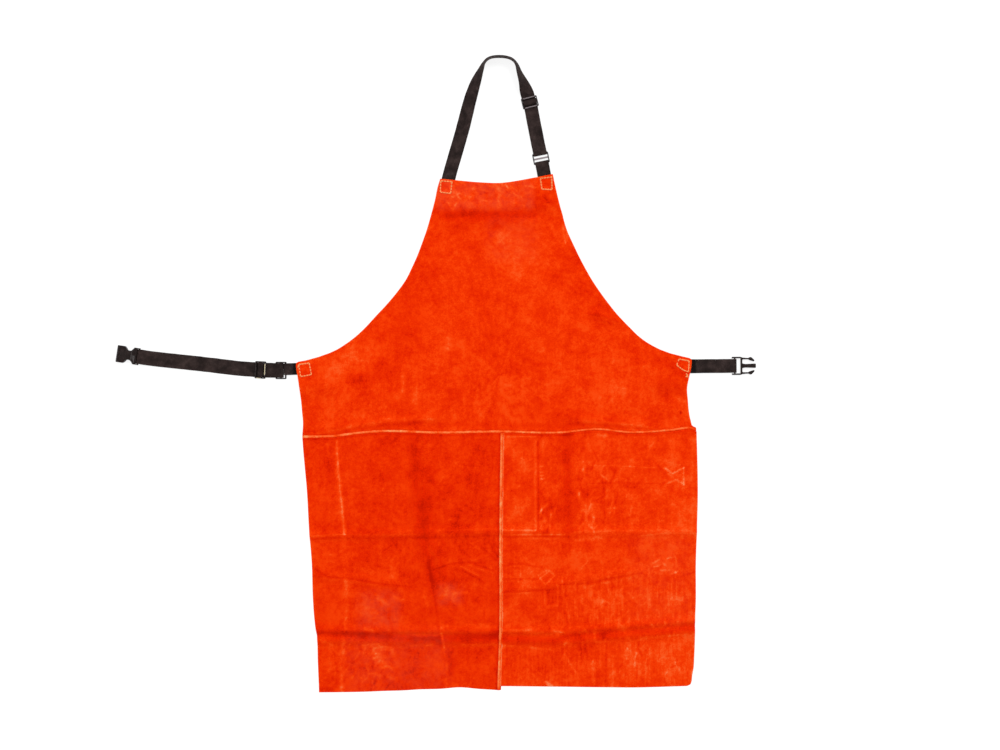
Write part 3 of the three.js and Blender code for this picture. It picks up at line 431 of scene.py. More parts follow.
def evaluated_mesh(source: Object) -> Mesh:
    """Turns an object with its modifiers into a plain mesh and removes the object."""
    graph = bpy.context.evaluated_depsgraph_get()
    mesh = bpy.data.meshes.new_from_object(source.evaluated_get(graph))
    bpy.data.objects.remove(source)
    return mesh


def set_values(mesh: Mesh, name: str, values: Array) -> None:
    """Stores one number for each vertex of a mesh under a name."""
    attribute = mesh.attributes.new(name, "FLOAT", "POINT")
    attribute.data.foreach_set("value", np.asarray(values, np.float32).ravel())


def hand_over(piece: Object, slot: Slot, *nodes: str) -> Object:
    """Fixes a finished piece to the frame, in place of the nodes that it stands for.

    Args:
        piece: The finished piece.
        slot: Not used.
        nodes: Nodes that the piece replaces.

    Returns:
        The same piece.
    """
    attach(piece, BODY)
    if nodes:
        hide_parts(*nodes)
    LOG.info("%s: %d faces", piece.name, len(piece.data.polygons))
    return piece


# Finishes


@dataclass(frozen=True)
class Grain:
    """A noise pattern: features per metre, octaves, strength of the finer ones, stretch each way."""

    scale: float
    octaves: float
    rough: float = 0.55
    stretch: tuple[float, float, float] = (1, 1, 1)


class ShaderBoard:
    """Lays the nodes of one material and joins them to its surface."""

    def __init__(self, name: str) -> None:
        """Starts a material with a bare surface shader.

        Args:
            name: Name of the material.
        """
        self.material = bpy.data.materials.new(name)
        self.material.use_nodes = True
        self.tree = self.material.node_tree
        self.tree.nodes.clear()
        self.surface = self.tree.nodes.new("ShaderNodeBsdfPrincipled")
        output = self.tree.nodes.new("ShaderNodeOutputMaterial")
        self.tree.links.new(self.surface.outputs["BSDF"], output.inputs["Surface"])

    def add(self, kind: str, **settings: object) -> Node:
        """Adds a node and sets its own options."""
        node = self.tree.nodes.new(kind)
        for key, value in settings.items():
            setattr(node, key, value)
        return node

    def put(self, socket: NodeSocket, value: object) -> None:
        """Joins a socket to another one, or sets it to a constant."""
        if isinstance(value, NodeSocket):
            self.tree.links.new(value, socket)
        else:
            socket.default_value = value

    def fill(self, node: Node, **values: object) -> None:
        """Joins or sets inputs of a node by their names, with _ for a space."""
        for name, value in values.items():
            self.put(node.inputs[name.replace("_", " ")], value)

    def noise(self, grain: Grain) -> NodeSocket:
        """Adds noise on the object's own coordinates.

        Args:
            grain: The pattern.

        Returns:
            Values about one half.
        """
        node, place = self.add("ShaderNodeTexNoise"), self.add("ShaderNodeMapping")
        self.fill(place, Vector=self.add("ShaderNodeTexCoord").outputs["Object"], Scale=grain.stretch)
        self.fill(node, Vector=place.outputs["Vector"], Scale=grain.scale)
        self.fill(node, Detail=grain.octaves, Roughness=grain.rough)
        return node.outputs["Fac"]

    def value(self, name: str) -> NodeSocket:
        """Reads a number stored on the mesh."""
        return self.add("ShaderNodeAttribute", attribute_name=name).outputs["Fac"]

    def math(self, operation: str, a: object, b: object = 0.0, c: object = 0.0) -> NodeSocket:
        """Joins up to three values with one operation."""
        node = self.add("ShaderNodeMath", operation=operation)
        for socket, value in zip(node.inputs, (a, b, c)):
            self.put(socket, value)
        return node.outputs[0]

    def about(self, value: object, gain: float) -> NodeSocket:
        """Turns values about one half into values about nought, times a gain."""
        return self.math("MULTIPLY_ADD", value, gain, -0.5 * gain)

    def sum(self, *values: object) -> NodeSocket:
        """Adds several values."""
        return reduce(partial(self.math, "ADD"), values)

    def ramp(self, value: object, stops: Sequence[tuple[float, tuple]]) -> NodeSocket:
        """Turns a value into a colour.

        Args:
            value: Socket that the colours follow.
            stops: Place from 0 to 1 and linear colour of each stop.

        Returns:
            The colour.
        """
        node = self.add("ShaderNodeValToRGB")
        elements = node.color_ramp.elements
        while len(elements) < len(stops):
            elements.new(1.0)
        for element, (place, colour) in zip(elements, stops):
            element.position = place
            element.color = colour
        self.put(node.inputs["Fac"], value)
        return node.outputs["Color"]

    def mix(self, share: object, first: object, second: object) -> NodeSocket:
        """Mixes two colours.

        Args:
            share: Share of the second colour.
            first: One colour.
            second: The other.

        Returns:
            The mixed colour.
        """
        node = self.add("ShaderNodeMix", data_type="RGBA")
        slots = (node.inputs["Factor"], *(s for s in node.inputs if s.type == "RGBA"))
        for socket, value in zip(slots, (share, first, second)):
            self.put(socket, value)
        return next(s for s in node.outputs if s.type == "RGBA")

    def bump(self, height: object, strength: float, depth_mm: float) -> None:
        """Roughens the surface by a height map.

        Args:
            height: The map.
            strength: Share of the depth that shows.
            depth_mm: Its depth.
        """
        node = self.add("ShaderNodeBump")
        self.fill(node, Strength=strength, Distance=depth_mm * MM, Height=height)
        self.fill(self.surface, Normal=node.outputs["Normal"])

    def close(self, colour: object, roughness: object, **constants: float) -> Material:
        """Joins the colour and roughness, sets other inputs by name and gives the finished material."""
        self.fill(self.surface, Base_Color=colour, Roughness=roughness, **constants)
        return self.material


@dataclass(frozen=True)
class SuedeFinish:
    """Napped split hide, mottled orange-red, paler where scuffed and along raised lines, where the paleness
    is partly a painted highlight, and darkened by painted shade in its folds, creases and beside the seams.
    """

    # Darkest colour: painted shade in folds, creases and beside the seams.
    painted_shade: tuple = linear(198, 22, 0)
    dark: tuple = linear(230, 36, 0)
    middle: tuple = linear(241, 50, 1)
    bright: tuple = linear(247, 58, 3)
    light: tuple = linear(251, 69, 10)
    pale: tuple = linear(253, 90, 32)
    # Palest colour: scuffs and pale imprints, and painted highlight on raised ridges and wrinkles.
    worn_and_sheen: tuple = linear(255, 130, 80)
    dusty: tuple = linear(226, 92, 58)
    clouds: Grain = Grain(8, 3)
    patches: Grain = Grain(32, 5, 0.68)
    curls: Grain = Grain(135, 2)
    nap: Grain = Grain(420, 3, 0.7)
    streaks: Grain = Grain(170, 3, 0.55, (1.3, 0.17, 1))
    dust: Grain = Grain(75, 4, 0.65)
    cloud_gain: float = 1.7
    patch_gain: float = 2.0
    curl_gain: float = 1.3
    nap_gain: float = 1.8
    streak_gain: float = 2.0
    mottle_top: float = 0.5
    mottle_ease: float = 0.3
    calming: float = 0.65
    dust_gain: float = 3.0
    dust_start: float = 0.9
    streak_relief: float = 0.3

    def material(self) -> Material:
        """Builds the material.

        Returns:
            A material that reads the values tone, streak and dust of its mesh.
        """
        board = ShaderBoard("suede")
        clouds = board.about(board.noise(self.clouds), self.cloud_gain)
        patches = board.about(board.noise(self.patches), self.patch_gain)
        nap = board.noise(self.nap)
        streaks = board.about(board.noise(self.streaks), self.streak_gain)
        drawn = board.math("MULTIPLY", streaks, board.value("streak"))
        curls = board.about(board.noise(self.curls), self.curl_gain)
        mottle = board.sum(clouds, patches, curls, board.about(nap, self.nap_gain), drawn)
        calm = board.math("SMOOTH_MIN", mottle, self.mottle_top, self.mottle_ease)
        mark = board.value("tone")
        # Evens out the mottle under strong marks, so that the painted shade of folds stays flat.
        steady = board.math("MULTIPLY_ADD", board.math("ABSOLUTE", mark), -self.calming, 1.0)
        steady.node.use_clamp = True
        tone = board.sum(mark, board.math("MULTIPLY", calm, steady))
        stops = (
            (0.0, self.painted_shade), (0.25, self.dark), (0.5, self.middle), (0.62, self.bright),
            (0.75, self.light), (0.88, self.pale), (1.0, self.worn_and_sheen),
        )
        dyed = board.ramp(board.math("MULTIPLY_ADD", tone, 0.5, 0.5), stops)
        spread = board.math("MULTIPLY_ADD", board.noise(self.dust), self.dust_gain, -self.dust_start)
        spread.node.use_clamp = True
        colour = board.mix(board.math("MULTIPLY", board.value("dust"), spread), dyed, self.dusty)
        relief = board.sum(nap, board.math("MULTIPLY", drawn, self.streak_relief))
        board.bump(relief, strength=0.45, depth_mm=0.35)
        return board.close(colour, roughness=0.95, Specular_IOR_Level=0.01)


@dataclass(frozen=True)
class WeltFinish:
    """Pale edge strip in the seams, worn almost to cream along its crown."""

    root: tuple = linear(236, 50, 2)
    flank: tuple = linear(252, 78, 14)
    crown: tuple = linear(255, 122, 62)
    worn: tuple = linear(255, 166, 106)
    dashes: Grain = Grain(60, 3)
    fibres: Grain = Grain(520, 2)
    fuzz: Grain = Grain(900, 2)
    dash_gain: float = 1.3
    fibre_gain: float = 0.8

    def material(self) -> Material:
        """Builds the material.

        Returns:
            A material that reads the value tone of its mesh.
        """
        board = ShaderBoard("welt_edge")
        dashes = board.about(board.noise(self.dashes), self.dash_gain)
        fibres = board.about(board.noise(self.fibres), self.fibre_gain)
        tone = board.sum(board.value("tone"), dashes, fibres)
        stops = ((0.0, self.root), (0.35, self.flank), (0.68, self.crown), (1.0, self.worn))
        board.bump(board.noise(self.fuzz), strength=0.4, depth_mm=0.25)
        return board.close(board.ramp(tone, stops), roughness=0.9, Specular_IOR_Level=0.03)


@dataclass(frozen=True)
class WebbingFinish:
    """Flat woven webbing, brown-black, with a herringbone of fine yarns along it."""

    shadow: tuple = linear(16, 11, 10)
    yarn: tuple = linear(43, 32, 30)
    worn: tuple = linear(72, 58, 55)
    column_mm: float = 3.0
    yarn_mm: float = 1.1
    dust: Grain = Grain(60, 4, 0.65)
    lint: Grain = Grain(1500, 2)
    dust_gain: float = 1.9
    dust_start: float = 0.45
    yarn_share: float = 0.3
    dust_share: float = 0.55
    lint_share: float = 0.25
    edge_shadow_share: float = -0.8

    def material(self) -> Material:
        """Builds the material.

        Returns:
            A material that follows the map of lengths along and across its strap.
        """
        board = ShaderBoard("webbing")
        split = board.add("ShaderNodeSeparateXYZ")
        board.fill(split, Vector=board.add("ShaderNodeUVMap", uv_map="weave").outputs["UV"])
        along, across = split.outputs["X"], split.outputs["Y"]
        zigzag = board.math("PINGPONG", across, self.column_mm * MM)
        slant = board.math("ADD", along, zigzag)
        yarns = board.math("PINGPONG", slant, self.yarn_mm * MM / 2)
        height = board.math("DIVIDE", yarns, self.yarn_mm * MM / 2)
        dust = board.math("MULTIPLY_ADD", board.noise(self.dust), self.dust_gain, -self.dust_start)
        # The shade value paints the shadow of the hide's edge on the webbing.
        parts = (
            (height, self.yarn_share), (dust, self.dust_share), (board.noise(self.lint), self.lint_share),
            (board.value("shade"), self.edge_shadow_share),
        )
        level = board.sum(*(board.math("MULTIPLY", part, share) for part, share in parts))
        stops = ((0.2, self.shadow), (0.55, self.yarn), (0.85, self.worn))
        board.bump(height, strength=0.55, depth_mm=0.3)
        return board.close(board.ramp(level, stops), roughness=0.8, Specular_IOR_Level=0.1)


@dataclass(frozen=True)
class PlasticFinish:
    """Moulded black plastic, half glossy, with a faint flow pattern, a painted grey sheen on some bars and
    pale cream spots that are partly worn plastic and partly painted glints.
    """

    body: tuple = linear(33, 24, 23)
    flow: tuple = linear(50, 39, 37)
    # Grey painted sheen on glossy bars.
    painted_sheen: tuple = linear(162, 150, 152)
    # Pale cream: worn plastic and painted glints.
    worn_and_sheen: tuple = linear(236, 222, 170)
    swirls: Grain = Grain(160, 3)
    sheen: Grain = Grain(420, 2)
    pits: Grain = Grain(700, 2)
    gloss: float = 0.15
    gloss_range: float = 0.16

    def material(self) -> Material:
        """Builds the material.

        Returns:
            A material that reads the mesh's value for worn spots and painted sheen.
        """
        board = ShaderBoard("moulded_plastic")
        flow = board.noise(self.swirls)
        some, much = (board.math("MULTIPLY_ADD", board.value("wear_and_painted_light"), 2.0, shift) for shift in (0.0, -1.0))
        some.node.use_clamp = much.node.use_clamp = True
        moulded = board.ramp(flow, ((0.4, self.body), (0.8, self.flow)))
        colour = board.mix(much, board.mix(some, moulded, self.painted_sheen), self.worn_and_sheen)
        gloss = board.math("MULTIPLY_ADD", board.noise(self.sheen), self.gloss_range, self.gloss)
        board.bump(board.noise(self.pits), strength=0.05, depth_mm=0.05)
        return board.close(colour, gloss, Specular_IOR_Level=0.36)


@dataclass(frozen=True)
class ThreadFinish:
    """Pale orange sewing thread with twisted plies, with painted shade in the hollows between them."""

    groove_shade: tuple = linear(255, 118, 54)
    ply: tuple = linear(255, 162, 92)
    plies: Grain = Grain(1400, 2)

    def material(self) -> Material:
        """Builds the material."""
        board = ShaderBoard("thread")
        plies = board.noise(self.plies)
        board.bump(plies, strength=0.4, depth_mm=0.15)
        return board.close(board.ramp(plies, ((0.3, self.groove_shade), (0.6, self.ply))), roughness=0.7)


@dataclass(frozen=True)
class FloorFinish:
    """Plain white studio floor, lit from below like a light table, so that shadows on it stay faint."""

    paper: tuple = (0.2, 0.2, 0.2, 1.0)
    glow: float = 0.86

    def material(self) -> Material:
        """Builds the material."""
        board = ShaderBoard("studio_floor")
        board.fill(board.surface, Emission_Color=(1, 1, 1, 1), Emission_Strength=self.glow)
        return board.close(self.paper, roughness=0.9, Specular_IOR_Level=0.1)


# Hide


@dataclass(frozen=True)
class Fold:
    """A crease in the hide between two places, with its half width and its rise."""

    crease: Crease
    start: Point
    end: Point
    reach: float
    height: float

    def rise(self, x: Array, y: Array) -> Array:
        """Gives the fold's height at places on the hide."""
        square = (distance_to_line(x, y, (self.start, self.end)) / self.reach) ** 2
        if self.crease is Crease.RIDGE:
            return self.height * np.exp(-square)
        return self.height * square * np.exp(1 - square)


@dataclass(frozen=True)
class SoftBox:
    """A part of the hide that is lifted, streaked or dusty, with a soft border."""

    low: Point
    high: Point
    strength: float
    fade: float = 25

    def rise(self, x: Array, y: Array) -> Array:
        """Gives the strength at places on the hide."""
        outside = (np.maximum(0, np.maximum(a - p, p - b)) for a, b, p in zip(self.low, self.high, (x, y)))
        return self.strength * (1 - smooth_step(np.hypot(*outside) / self.fade))


FOLDS = (
    Fold(Crease.VALLEY, (-92, 283), (62, 283), 14, 1.4),
    Fold(Crease.RIDGE, (167, 108), (207, 95), 9, 2),
    Fold(Crease.RIDGE, (-313, -94), (-114, -74), 9, 1.6),
    Fold(Crease.RIDGE, (128, -76), (255, -88), 9, 1.6),
    Fold(Crease.RIDGE, (-336, -282), (0, -275), 8, 2.2),
    Fold(Crease.RIDGE, (0, -275), (345, -276), 8, 2.2),
    Fold(Crease.VALLEY, (-322, -457), (110, -459), 9, 2.4),
    Fold(Crease.VALLEY, (110, -459), (341, -440), 9, 2.4),
    Fold(Crease.VALLEY, (-141, -112), (-141, -270), 9, 2),
    Fold(Crease.VALLEY, (-141, -270), (-105, -360), 9, 1.6),
    Fold(Crease.VALLEY, (118, -112), (118, -270), 9, 2),
    Fold(Crease.RIDGE, (2, -381), (242, -346), 9, 1.4),
    Fold(Crease.RIDGE, (-316, -351), (-179, -369), 9, 1.4),
)

# Corners of the hide that lie over sewn-on webbing.
CORNER_LIFTS = (
    SoftBox((-120, 296), (-72, 364), 2.0, 30),
    SoftBox((54, 302), (106, 374), 3.7, 30),
    SoftBox((-370, -16), (-306, 36), 3.7, 34),
    SoftBox((282, -10), (350, 42), 3.7, 34),
)


@dataclass
class HideForm:
    """Edges, seams and relief that the three panels share, in millimetres."""

    thickness: float = 1.5
    seam_half: float = 2.55
    edge_blend: float = 60
    roll_reach: float = 8
    roll_height: float = 0.8
    bib_top: float = 345
    seam_y: float = -100
    hem_y: float = -550
    sink: float = 0.35
    swells: Sequence[tuple[float, int, float]] = ((17, 3, 0.3), (38, 5, 0.6))

    def __post_init__(self) -> None:
        """Draws the curves of the edges and seams, and the waves by their cell, seed and height."""
        self.bib_left = TableCurve(BIB_SECTIONS, 1)
        self.bib_right = TableCurve(BIB_SECTIONS, 2)
        self.skirt_left = TableCurve(SKIRT_SECTIONS, 1)
        self.skirt_right = TableCurve(SKIRT_SECTIONS, 2)
        self.top_edge = TableCurve(TOP_EDGE)
        self.waist_seam = TableCurve(WAIST_SEAM)
        self.centre_seam = TableCurve(CENTRE_SEAM)
        self.left_hem = TableCurve(LEFT_HEM)
        self.right_hem = TableCurve(RIGHT_HEM)
        self.waves = [(ValueNoise(cell, seed), height) for cell, seed, height in self.swells]

    def blend(self, distance: Array) -> Array:
        """Tells how far a row takes on the line of an edge at this distance."""
        return 1 - smooth_step(distance / self.edge_blend)

    def to_seams(self, x: Array, y: Array) -> Array:
        """Measures the distance to the nearest seam."""
        to_centre = np.where(y < self.waist_seam(x), np.abs(x - self.centre_seam(y)), np.inf)
        return np.minimum(np.abs(y - self.waist_seam(x)), to_centre)

    def relief(self, x: Array, y: Array) -> Array:
        """Gives the height of the hide's underside above the floor."""
        roll = self.roll_height * np.exp(-((self.to_seams(x, y) / self.roll_reach) ** 2))
        return np.maximum.reduce([roll, *(form.rise(x, y) for form in (*FOLDS, *CORNER_LIFTS))])

    def top(self, x: Array, y: Array) -> Array:
        """Gives the height of the hide's upper side, with its slight waves."""
        swell = sum(gain * noise(x, y) for noise, gain in self.waves)
        return self.relief(x, y) + self.thickness + swell - self.sink

    def bib_place(self, share: Array, row: Array) -> tuple[Array, Array]:
        """Places the bib's grid from the share across and the row's height."""
        x = self.bib_left(row) * (1 - share) + self.bib_right(row) * share
        to_top = (self.top_edge(x) - self.bib_top) * self.blend(self.bib_top - row)
        to_seam = (self.waist_seam(x) + self.seam_half - self.seam_y) * self.blend(row - self.seam_y)
        return x, row + to_top + to_seam

    def skirt_rows(self, x: Array, row: Array, hem: TableCurve) -> Array:
        """Bends a skirt's rows to its hem and to the waist seam."""
        to_hem = (hem(x) - self.hem_y) * self.blend(row - self.hem_y)
        to_seam = (self.waist_seam(x) - self.seam_half - self.seam_y) * self.blend(self.seam_y - row)
        return row + to_hem + to_seam

    def left_place(self, share: Array, row: Array) -> tuple[Array, Array]:
        """Places the left skirt's grid from the share across and the row's height."""
        x = self.skirt_left(row) * (1 - share) + (self.centre_seam(row) - self.seam_half) * share
        return x, self.skirt_rows(x, row, self.left_hem)

    def right_place(self, share: Array, row: Array) -> tuple[Array, Array]:
        """Places the right skirt's grid from the share across and the row's height."""
        x = (self.centre_seam(row) + self.seam_half) * (1 - share) + self.skirt_right(row) * share
        return x, self.skirt_rows(x, row, self.right_hem)


@dataclass(frozen=True)
class Crinkles:
    """A field of short seeded wrinkles: its corners, how many, and how they lie."""

    low: Point
    high: Point
    count: int
    heading_deg: float
    swing_deg: float
    length: Point
    tone: float
    rise: float
    seed: int
    wide: Point = (1.3, 2.2)
    strong: Point = (0.5, 1.2)
    bow: float = 0.3
    raised: float = 0.55

    def marks(self) -> list[tuple]:
        """Scatters the wrinkles.

        Returns:
            Rows of a mark table.
        """
        rng = np.random.default_rng(self.seed)
        rows = []
        for _ in range(self.count):
            x, y = rng.uniform(self.low, self.high)
            heading = math.radians(self.heading_deg + self.swing_deg * rng.normal())
            reach = rng.uniform(*self.length) / 2
            bow = rng.normal() * reach * self.bow
            dx, dy = math.cos(heading), math.sin(heading)
            line = [
                (x + k * reach * dx - b * dy, y + k * reach * dy + b * dx)
                for k, b in ((-1, 0), (0, bow), (1, 0))
            ]
            # Sunken wrinkles get painted shade and raised ones a paler tone, partly painted highlight, by
            # the sign of their rise.
            sign = 1 if rng.random() < self.raised else -1
            width, strength = rng.uniform(*self.wide), rng.uniform(*self.strong)
            rows.append((width, sign * self.tone * strength, sign * self.rise, *line))
        return rows


@dataclass(frozen=True)
class ShadeBand:
    """A soft band beside a seam: how pale it is, how far off it lies and its half width."""

    tone: float
    offset: float
    reach: float

    def at(self, distance: Array) -> Array:
        """Gives the tone at distances from the seam."""
        return self.tone * np.exp(-(((distance - self.offset) / self.reach) ** 2))


@dataclass
class HidePanel:
    """One panel of hide, with folds, imprints, crinkles and rounded cut edges."""

    name: str
    form: HideForm
    place: Callable[[Array, Array], tuple[Array, Array]]
    rows: Point
    columns: int
    lines: int
    flat: Point
    area: float
    base_tone: float
    marks: Sequence[tuple] = ()
    crinkles: Sequence[Crinkles] = ()
    streaks: Sequence[SoftBox] = ()
    dust: Sequence[SoftBox] = ()
    mark_gain: float = 1.0
    mark_span: float = 3
    usual_width: float = 400
    edge_drop: float = 0.45
    edge_step: float = 0.7
    edge_tone: float = 0.5
    edge_reach: float = 1.9
    seam_clear: float = 6
    # Painted shadow below the waist seam and left of the centre seam, and a pale band right of the centre
    # seam.
    under_waist: ShadeBand = ShadeBand(-0.45, 4.6, 1.7)
    left_of_centre: ShadeBand = ShadeBand(-0.6, 3.4, 2.0)
    right_of_centre: ShadeBand = ShadeBand(0.95, -2.8, 1.1)
    centre_start: float = 3
    thinning: int = 3

    def stations(self, count: int, span: float) -> Array:
        """Spaces lines of the grid from 0 to 1, with one close to either edge."""
        inset = self.edge_step / span
        return np.concatenate(([0], np.linspace(inset, 1 - inset, count - 2), [1]))

    def skin(self, x: Array, y: Array) -> tuple[Array, Array]:
        """Adds up the marks.

        Args:
            x: Places across.
            y: Places along.

        Returns:
            Tone and rise of the surface at each place.
        """
        tone = np.full(x.shape, self.base_tone)
        rise = np.zeros(x.shape)
        scattered = [row for patch in self.crinkles for row in patch.marks()]
        for reach, shade, lift, *line in (*self.marks, *scattered):
            corners = np.array(line)
            low = corners.min(0) - self.mark_span * reach
            high = corners.max(0) + self.mark_span * reach
            near = (x > low[0]) & (x < high[0]) & (y > low[1]) & (y < high[1])
            weight = np.exp(-((distance_to_line(x[near], y[near], line) / reach) ** 2))
            tone[near] += self.mark_gain * shade * weight
            rise[near] += lift * weight
        return tone, rise

    def seam_shade(self, x: Array, y: Array) -> Array:
        """Paints shade on the hide below the waist seam and left of the centre seam, and a pale band right
        of the centre seam.

        Args:
            x: Places across.
            y: Places along.

        Returns:
            The tone to add at each place.
        """
        below = self.form.waist_seam(x) - y
        beside = self.form.centre_seam(y) - x
        shade = np.where(below > 0, self.under_waist.at(below), 0)
        centre = self.left_of_centre.at(beside) + self.right_of_centre.at(beside)
        return shade + np.where(below > self.centre_start, centre, 0)

    def edge_shade(self, x: Array, y: Array) -> Array:
        """Lightens the cut edges, but not the sides that are sewn."""
        sideways = np.minimum(x - x[:, :1], x[:, -1:] - x)
        upright = np.minimum(y - y[:1], y[-1:] - y)
        near = np.exp(-((np.minimum(sideways, upright) / self.edge_reach) ** 2))
        return np.where(self.form.to_seams(x, y) > self.seam_clear, self.edge_tone * near, 0)

    def build(self, material: Material) -> Object:
        """Builds the closed panel.

        Args:
            material: Finish of the hide.

        Returns:
            The panel.
        """
        low, high = self.rows
        across = self.stations(self.columns, self.usual_width)
        share, step = np.meshgrid(across, self.stations(self.lines, high - low))
        x, y = self.place(share, low + (high - low) * step)
        tone, rise = self.skin(x, y)
        edge = np.zeros(x.shape, bool)
        edge[[0, -1], :] = edge[:, [0, -1]] = True
        z = self.form.top(x, y) + rise - self.edge_drop * edge
        values = {"tone": tone + self.seam_shade(x, y) + self.edge_shade(x, y)}
        for name, boxes in (("streak", self.streaks), ("dust", self.dust)):
            values[name] = np.maximum.reduce([np.zeros(x.shape), *(box.rise(x, y) for box in boxes)])
        upper = np.stack((x, y, z), -1).reshape(-1, 3)
        keep_rows, keep_cols = self.thin_lines(self.lines), self.thin_lines(self.columns)
        under_x, under_y = x[np.ix_(keep_rows, keep_cols)], y[np.ix_(keep_rows, keep_cols)]
        lower = np.stack((under_x, under_y, self.form.relief(under_x, under_y)), -1).reshape(-1, 3)
        faces = self.faces(keep_rows, keep_cols)
        made = make_object(self.name, np.concatenate((upper, lower)), faces, material, sharp_deg=50)
        bottom = np.zeros(len(lower))
        for name, upper_values in values.items():
            set_values(made.data, name, np.concatenate((upper_values.ravel(), bottom)))
        return made

    def thin_lines(self, count: int) -> list[int]:
        """Picks the lines of the grid that the underside keeps."""
        return [0, *range(2, count - 2, self.thinning), count - 1]

    def faces(self, keep_rows: list[int], keep_cols: list[int]) -> list[list[int]]:
        """Joins the fine upper side, the coarse underside and the cut edges.

        Args:
            keep_rows: Rows of the upper grid that the underside has too.
            keep_cols: Columns of the upper grid that the underside has too.

        Returns:
            Corner numbers of every face.
        """
        top = np.arange(self.lines * self.columns).reshape(self.lines, self.columns)
        low = top.size + np.arange(len(keep_rows) * len(keep_cols)).reshape(len(keep_rows), -1)
        found = [*np.stack((top[:-1, :-1], top[:-1, 1:], top[1:, 1:], top[1:, :-1]), -1).reshape(-1, 4)]
        found += [*np.stack((low[:-1, :-1], low[1:, :-1], low[1:, 1:], low[:-1, 1:]), -1).reshape(-1, 4)]
        for c, (start, end) in enumerate(zip(keep_cols, keep_cols[1:])):
            found.append([*low[0, c : c + 2], *top[0, start : end + 1][::-1]])
            found.append([*low[-1, c : c + 2][::-1], *top[-1, start : end + 1]])
        for r, (start, end) in enumerate(zip(keep_rows, keep_rows[1:])):
            found.append([*low[r : r + 2, 0][::-1], *top[start : end + 1, 0]])
            found.append([*low[r : r + 2, -1], *top[start : end + 1, -1][::-1]])
        return [[int(corner) for corner in face] for face in found]

    def dress(self, material: Material) -> Object:
        made = self.build(material)
        hand_over(made, Slot.HIDE, self.name)
        return made


# Seam welts


def sweep_faces(rings: int, sides: int) -> list[list[int]]:
    """Joins the rings of a sweep and closes both ends.

    Args:
        rings: Number of rings.
        sides: Corners of each ring.

    Returns:
        Corner numbers of every face.
    """
    found = [list(range(sides))[::-1], [(rings - 1) * sides + k for k in range(sides)]]
    for ring in range(rings - 1):
        for k in range(sides):
            a, b = ring * sides + k, ring * sides + (k + 1) % sides
            found.append([a, b, b + sides, a + sides])
    return found


@dataclass
class SeamWelt:
    """A pale strip standing in a seam, with a worn rounded crown."""

    name: str
    run: Callable[[Array], Array]
    start: float
    end: float
    upright: bool
    wear_and_painted_light: Sequence[tuple[float, float, float]]
    crest: Sequence[Point] = ((0, 2.6),)
    level: float = 0.55
    lean: float = -0.06
    root_tone: float = 0.05
    shoulder: float = 1.6
    rough_cell: float = 5
    rough_height: float = 0.25
    rough_spread: float = 7.0
    step: float = 2.0
    section: Sequence[Point] = (
        (4.2, 0), (4.2, 0.35), (2.5, 0.4), (2.5, 1.9), (2.2, 2.25), (1.6, 2.5), (0.8, 2.65), (0, 2.7),
        (-0.8, 2.65), (-1.6, 2.5), (-2.2, 2.25), (-2.5, 1.9), (-2.5, 0.4), (-4.2, 0.35), (-4.2, 0),
    )
    seed: int = 11

    def build(self, material: Material) -> Object:
        """Sweeps the section along the seam.

        Args:
            material: Finish of the welt.

        Returns:
            The welt.
        """
        count = int(abs(self.end - self.start) / self.step)
        along = np.linspace(self.start, self.end, count + 1)
        middle = self.run(along)
        halves = np.interp(along, *zip(*self.crest))
        rough = ValueNoise(self.rough_cell, self.seed)
        verts, tones = [], []
        for place, across, half in zip(along, middle, halves):
            # Positive rows make the crown paler where worn, negative rows darken it, partly with painted
            # shade.
            worn = sum(gain * math.exp(-(((place - at) / reach) ** 2)) for at, reach, gain in self.wear_and_painted_light)
            for side, up in self.section:
                shift = crown = 0.0
                if up > self.shoulder:
                    shift = self.rough_height * (float(rough(place, self.rough_spread * up)) - 0.5)
                    crown = math.exp(-((side / half) ** 4))
                offset = across + side
                x, y = (offset, place) if self.upright else (place, offset)
                verts.append((x, y, up + shift))
                tones.append(self.root_tone + (self.level + worn) * crown + self.lean * side)
        made = make_object(self.name, np.array(verts), self.faces(count + 1), material, sharp_deg=60)
        set_values(made.data, "tone", np.array(tones))
        return made

    def faces(self, rings: int) -> list[list[int]]:
        """Joins the rings, with the faces outwards whichever way the seam runs."""
        found = sweep_faces(rings, len(self.section))
        return found if (self.end > self.start) != self.upright else [face[::-1] for face in found]


# Straps


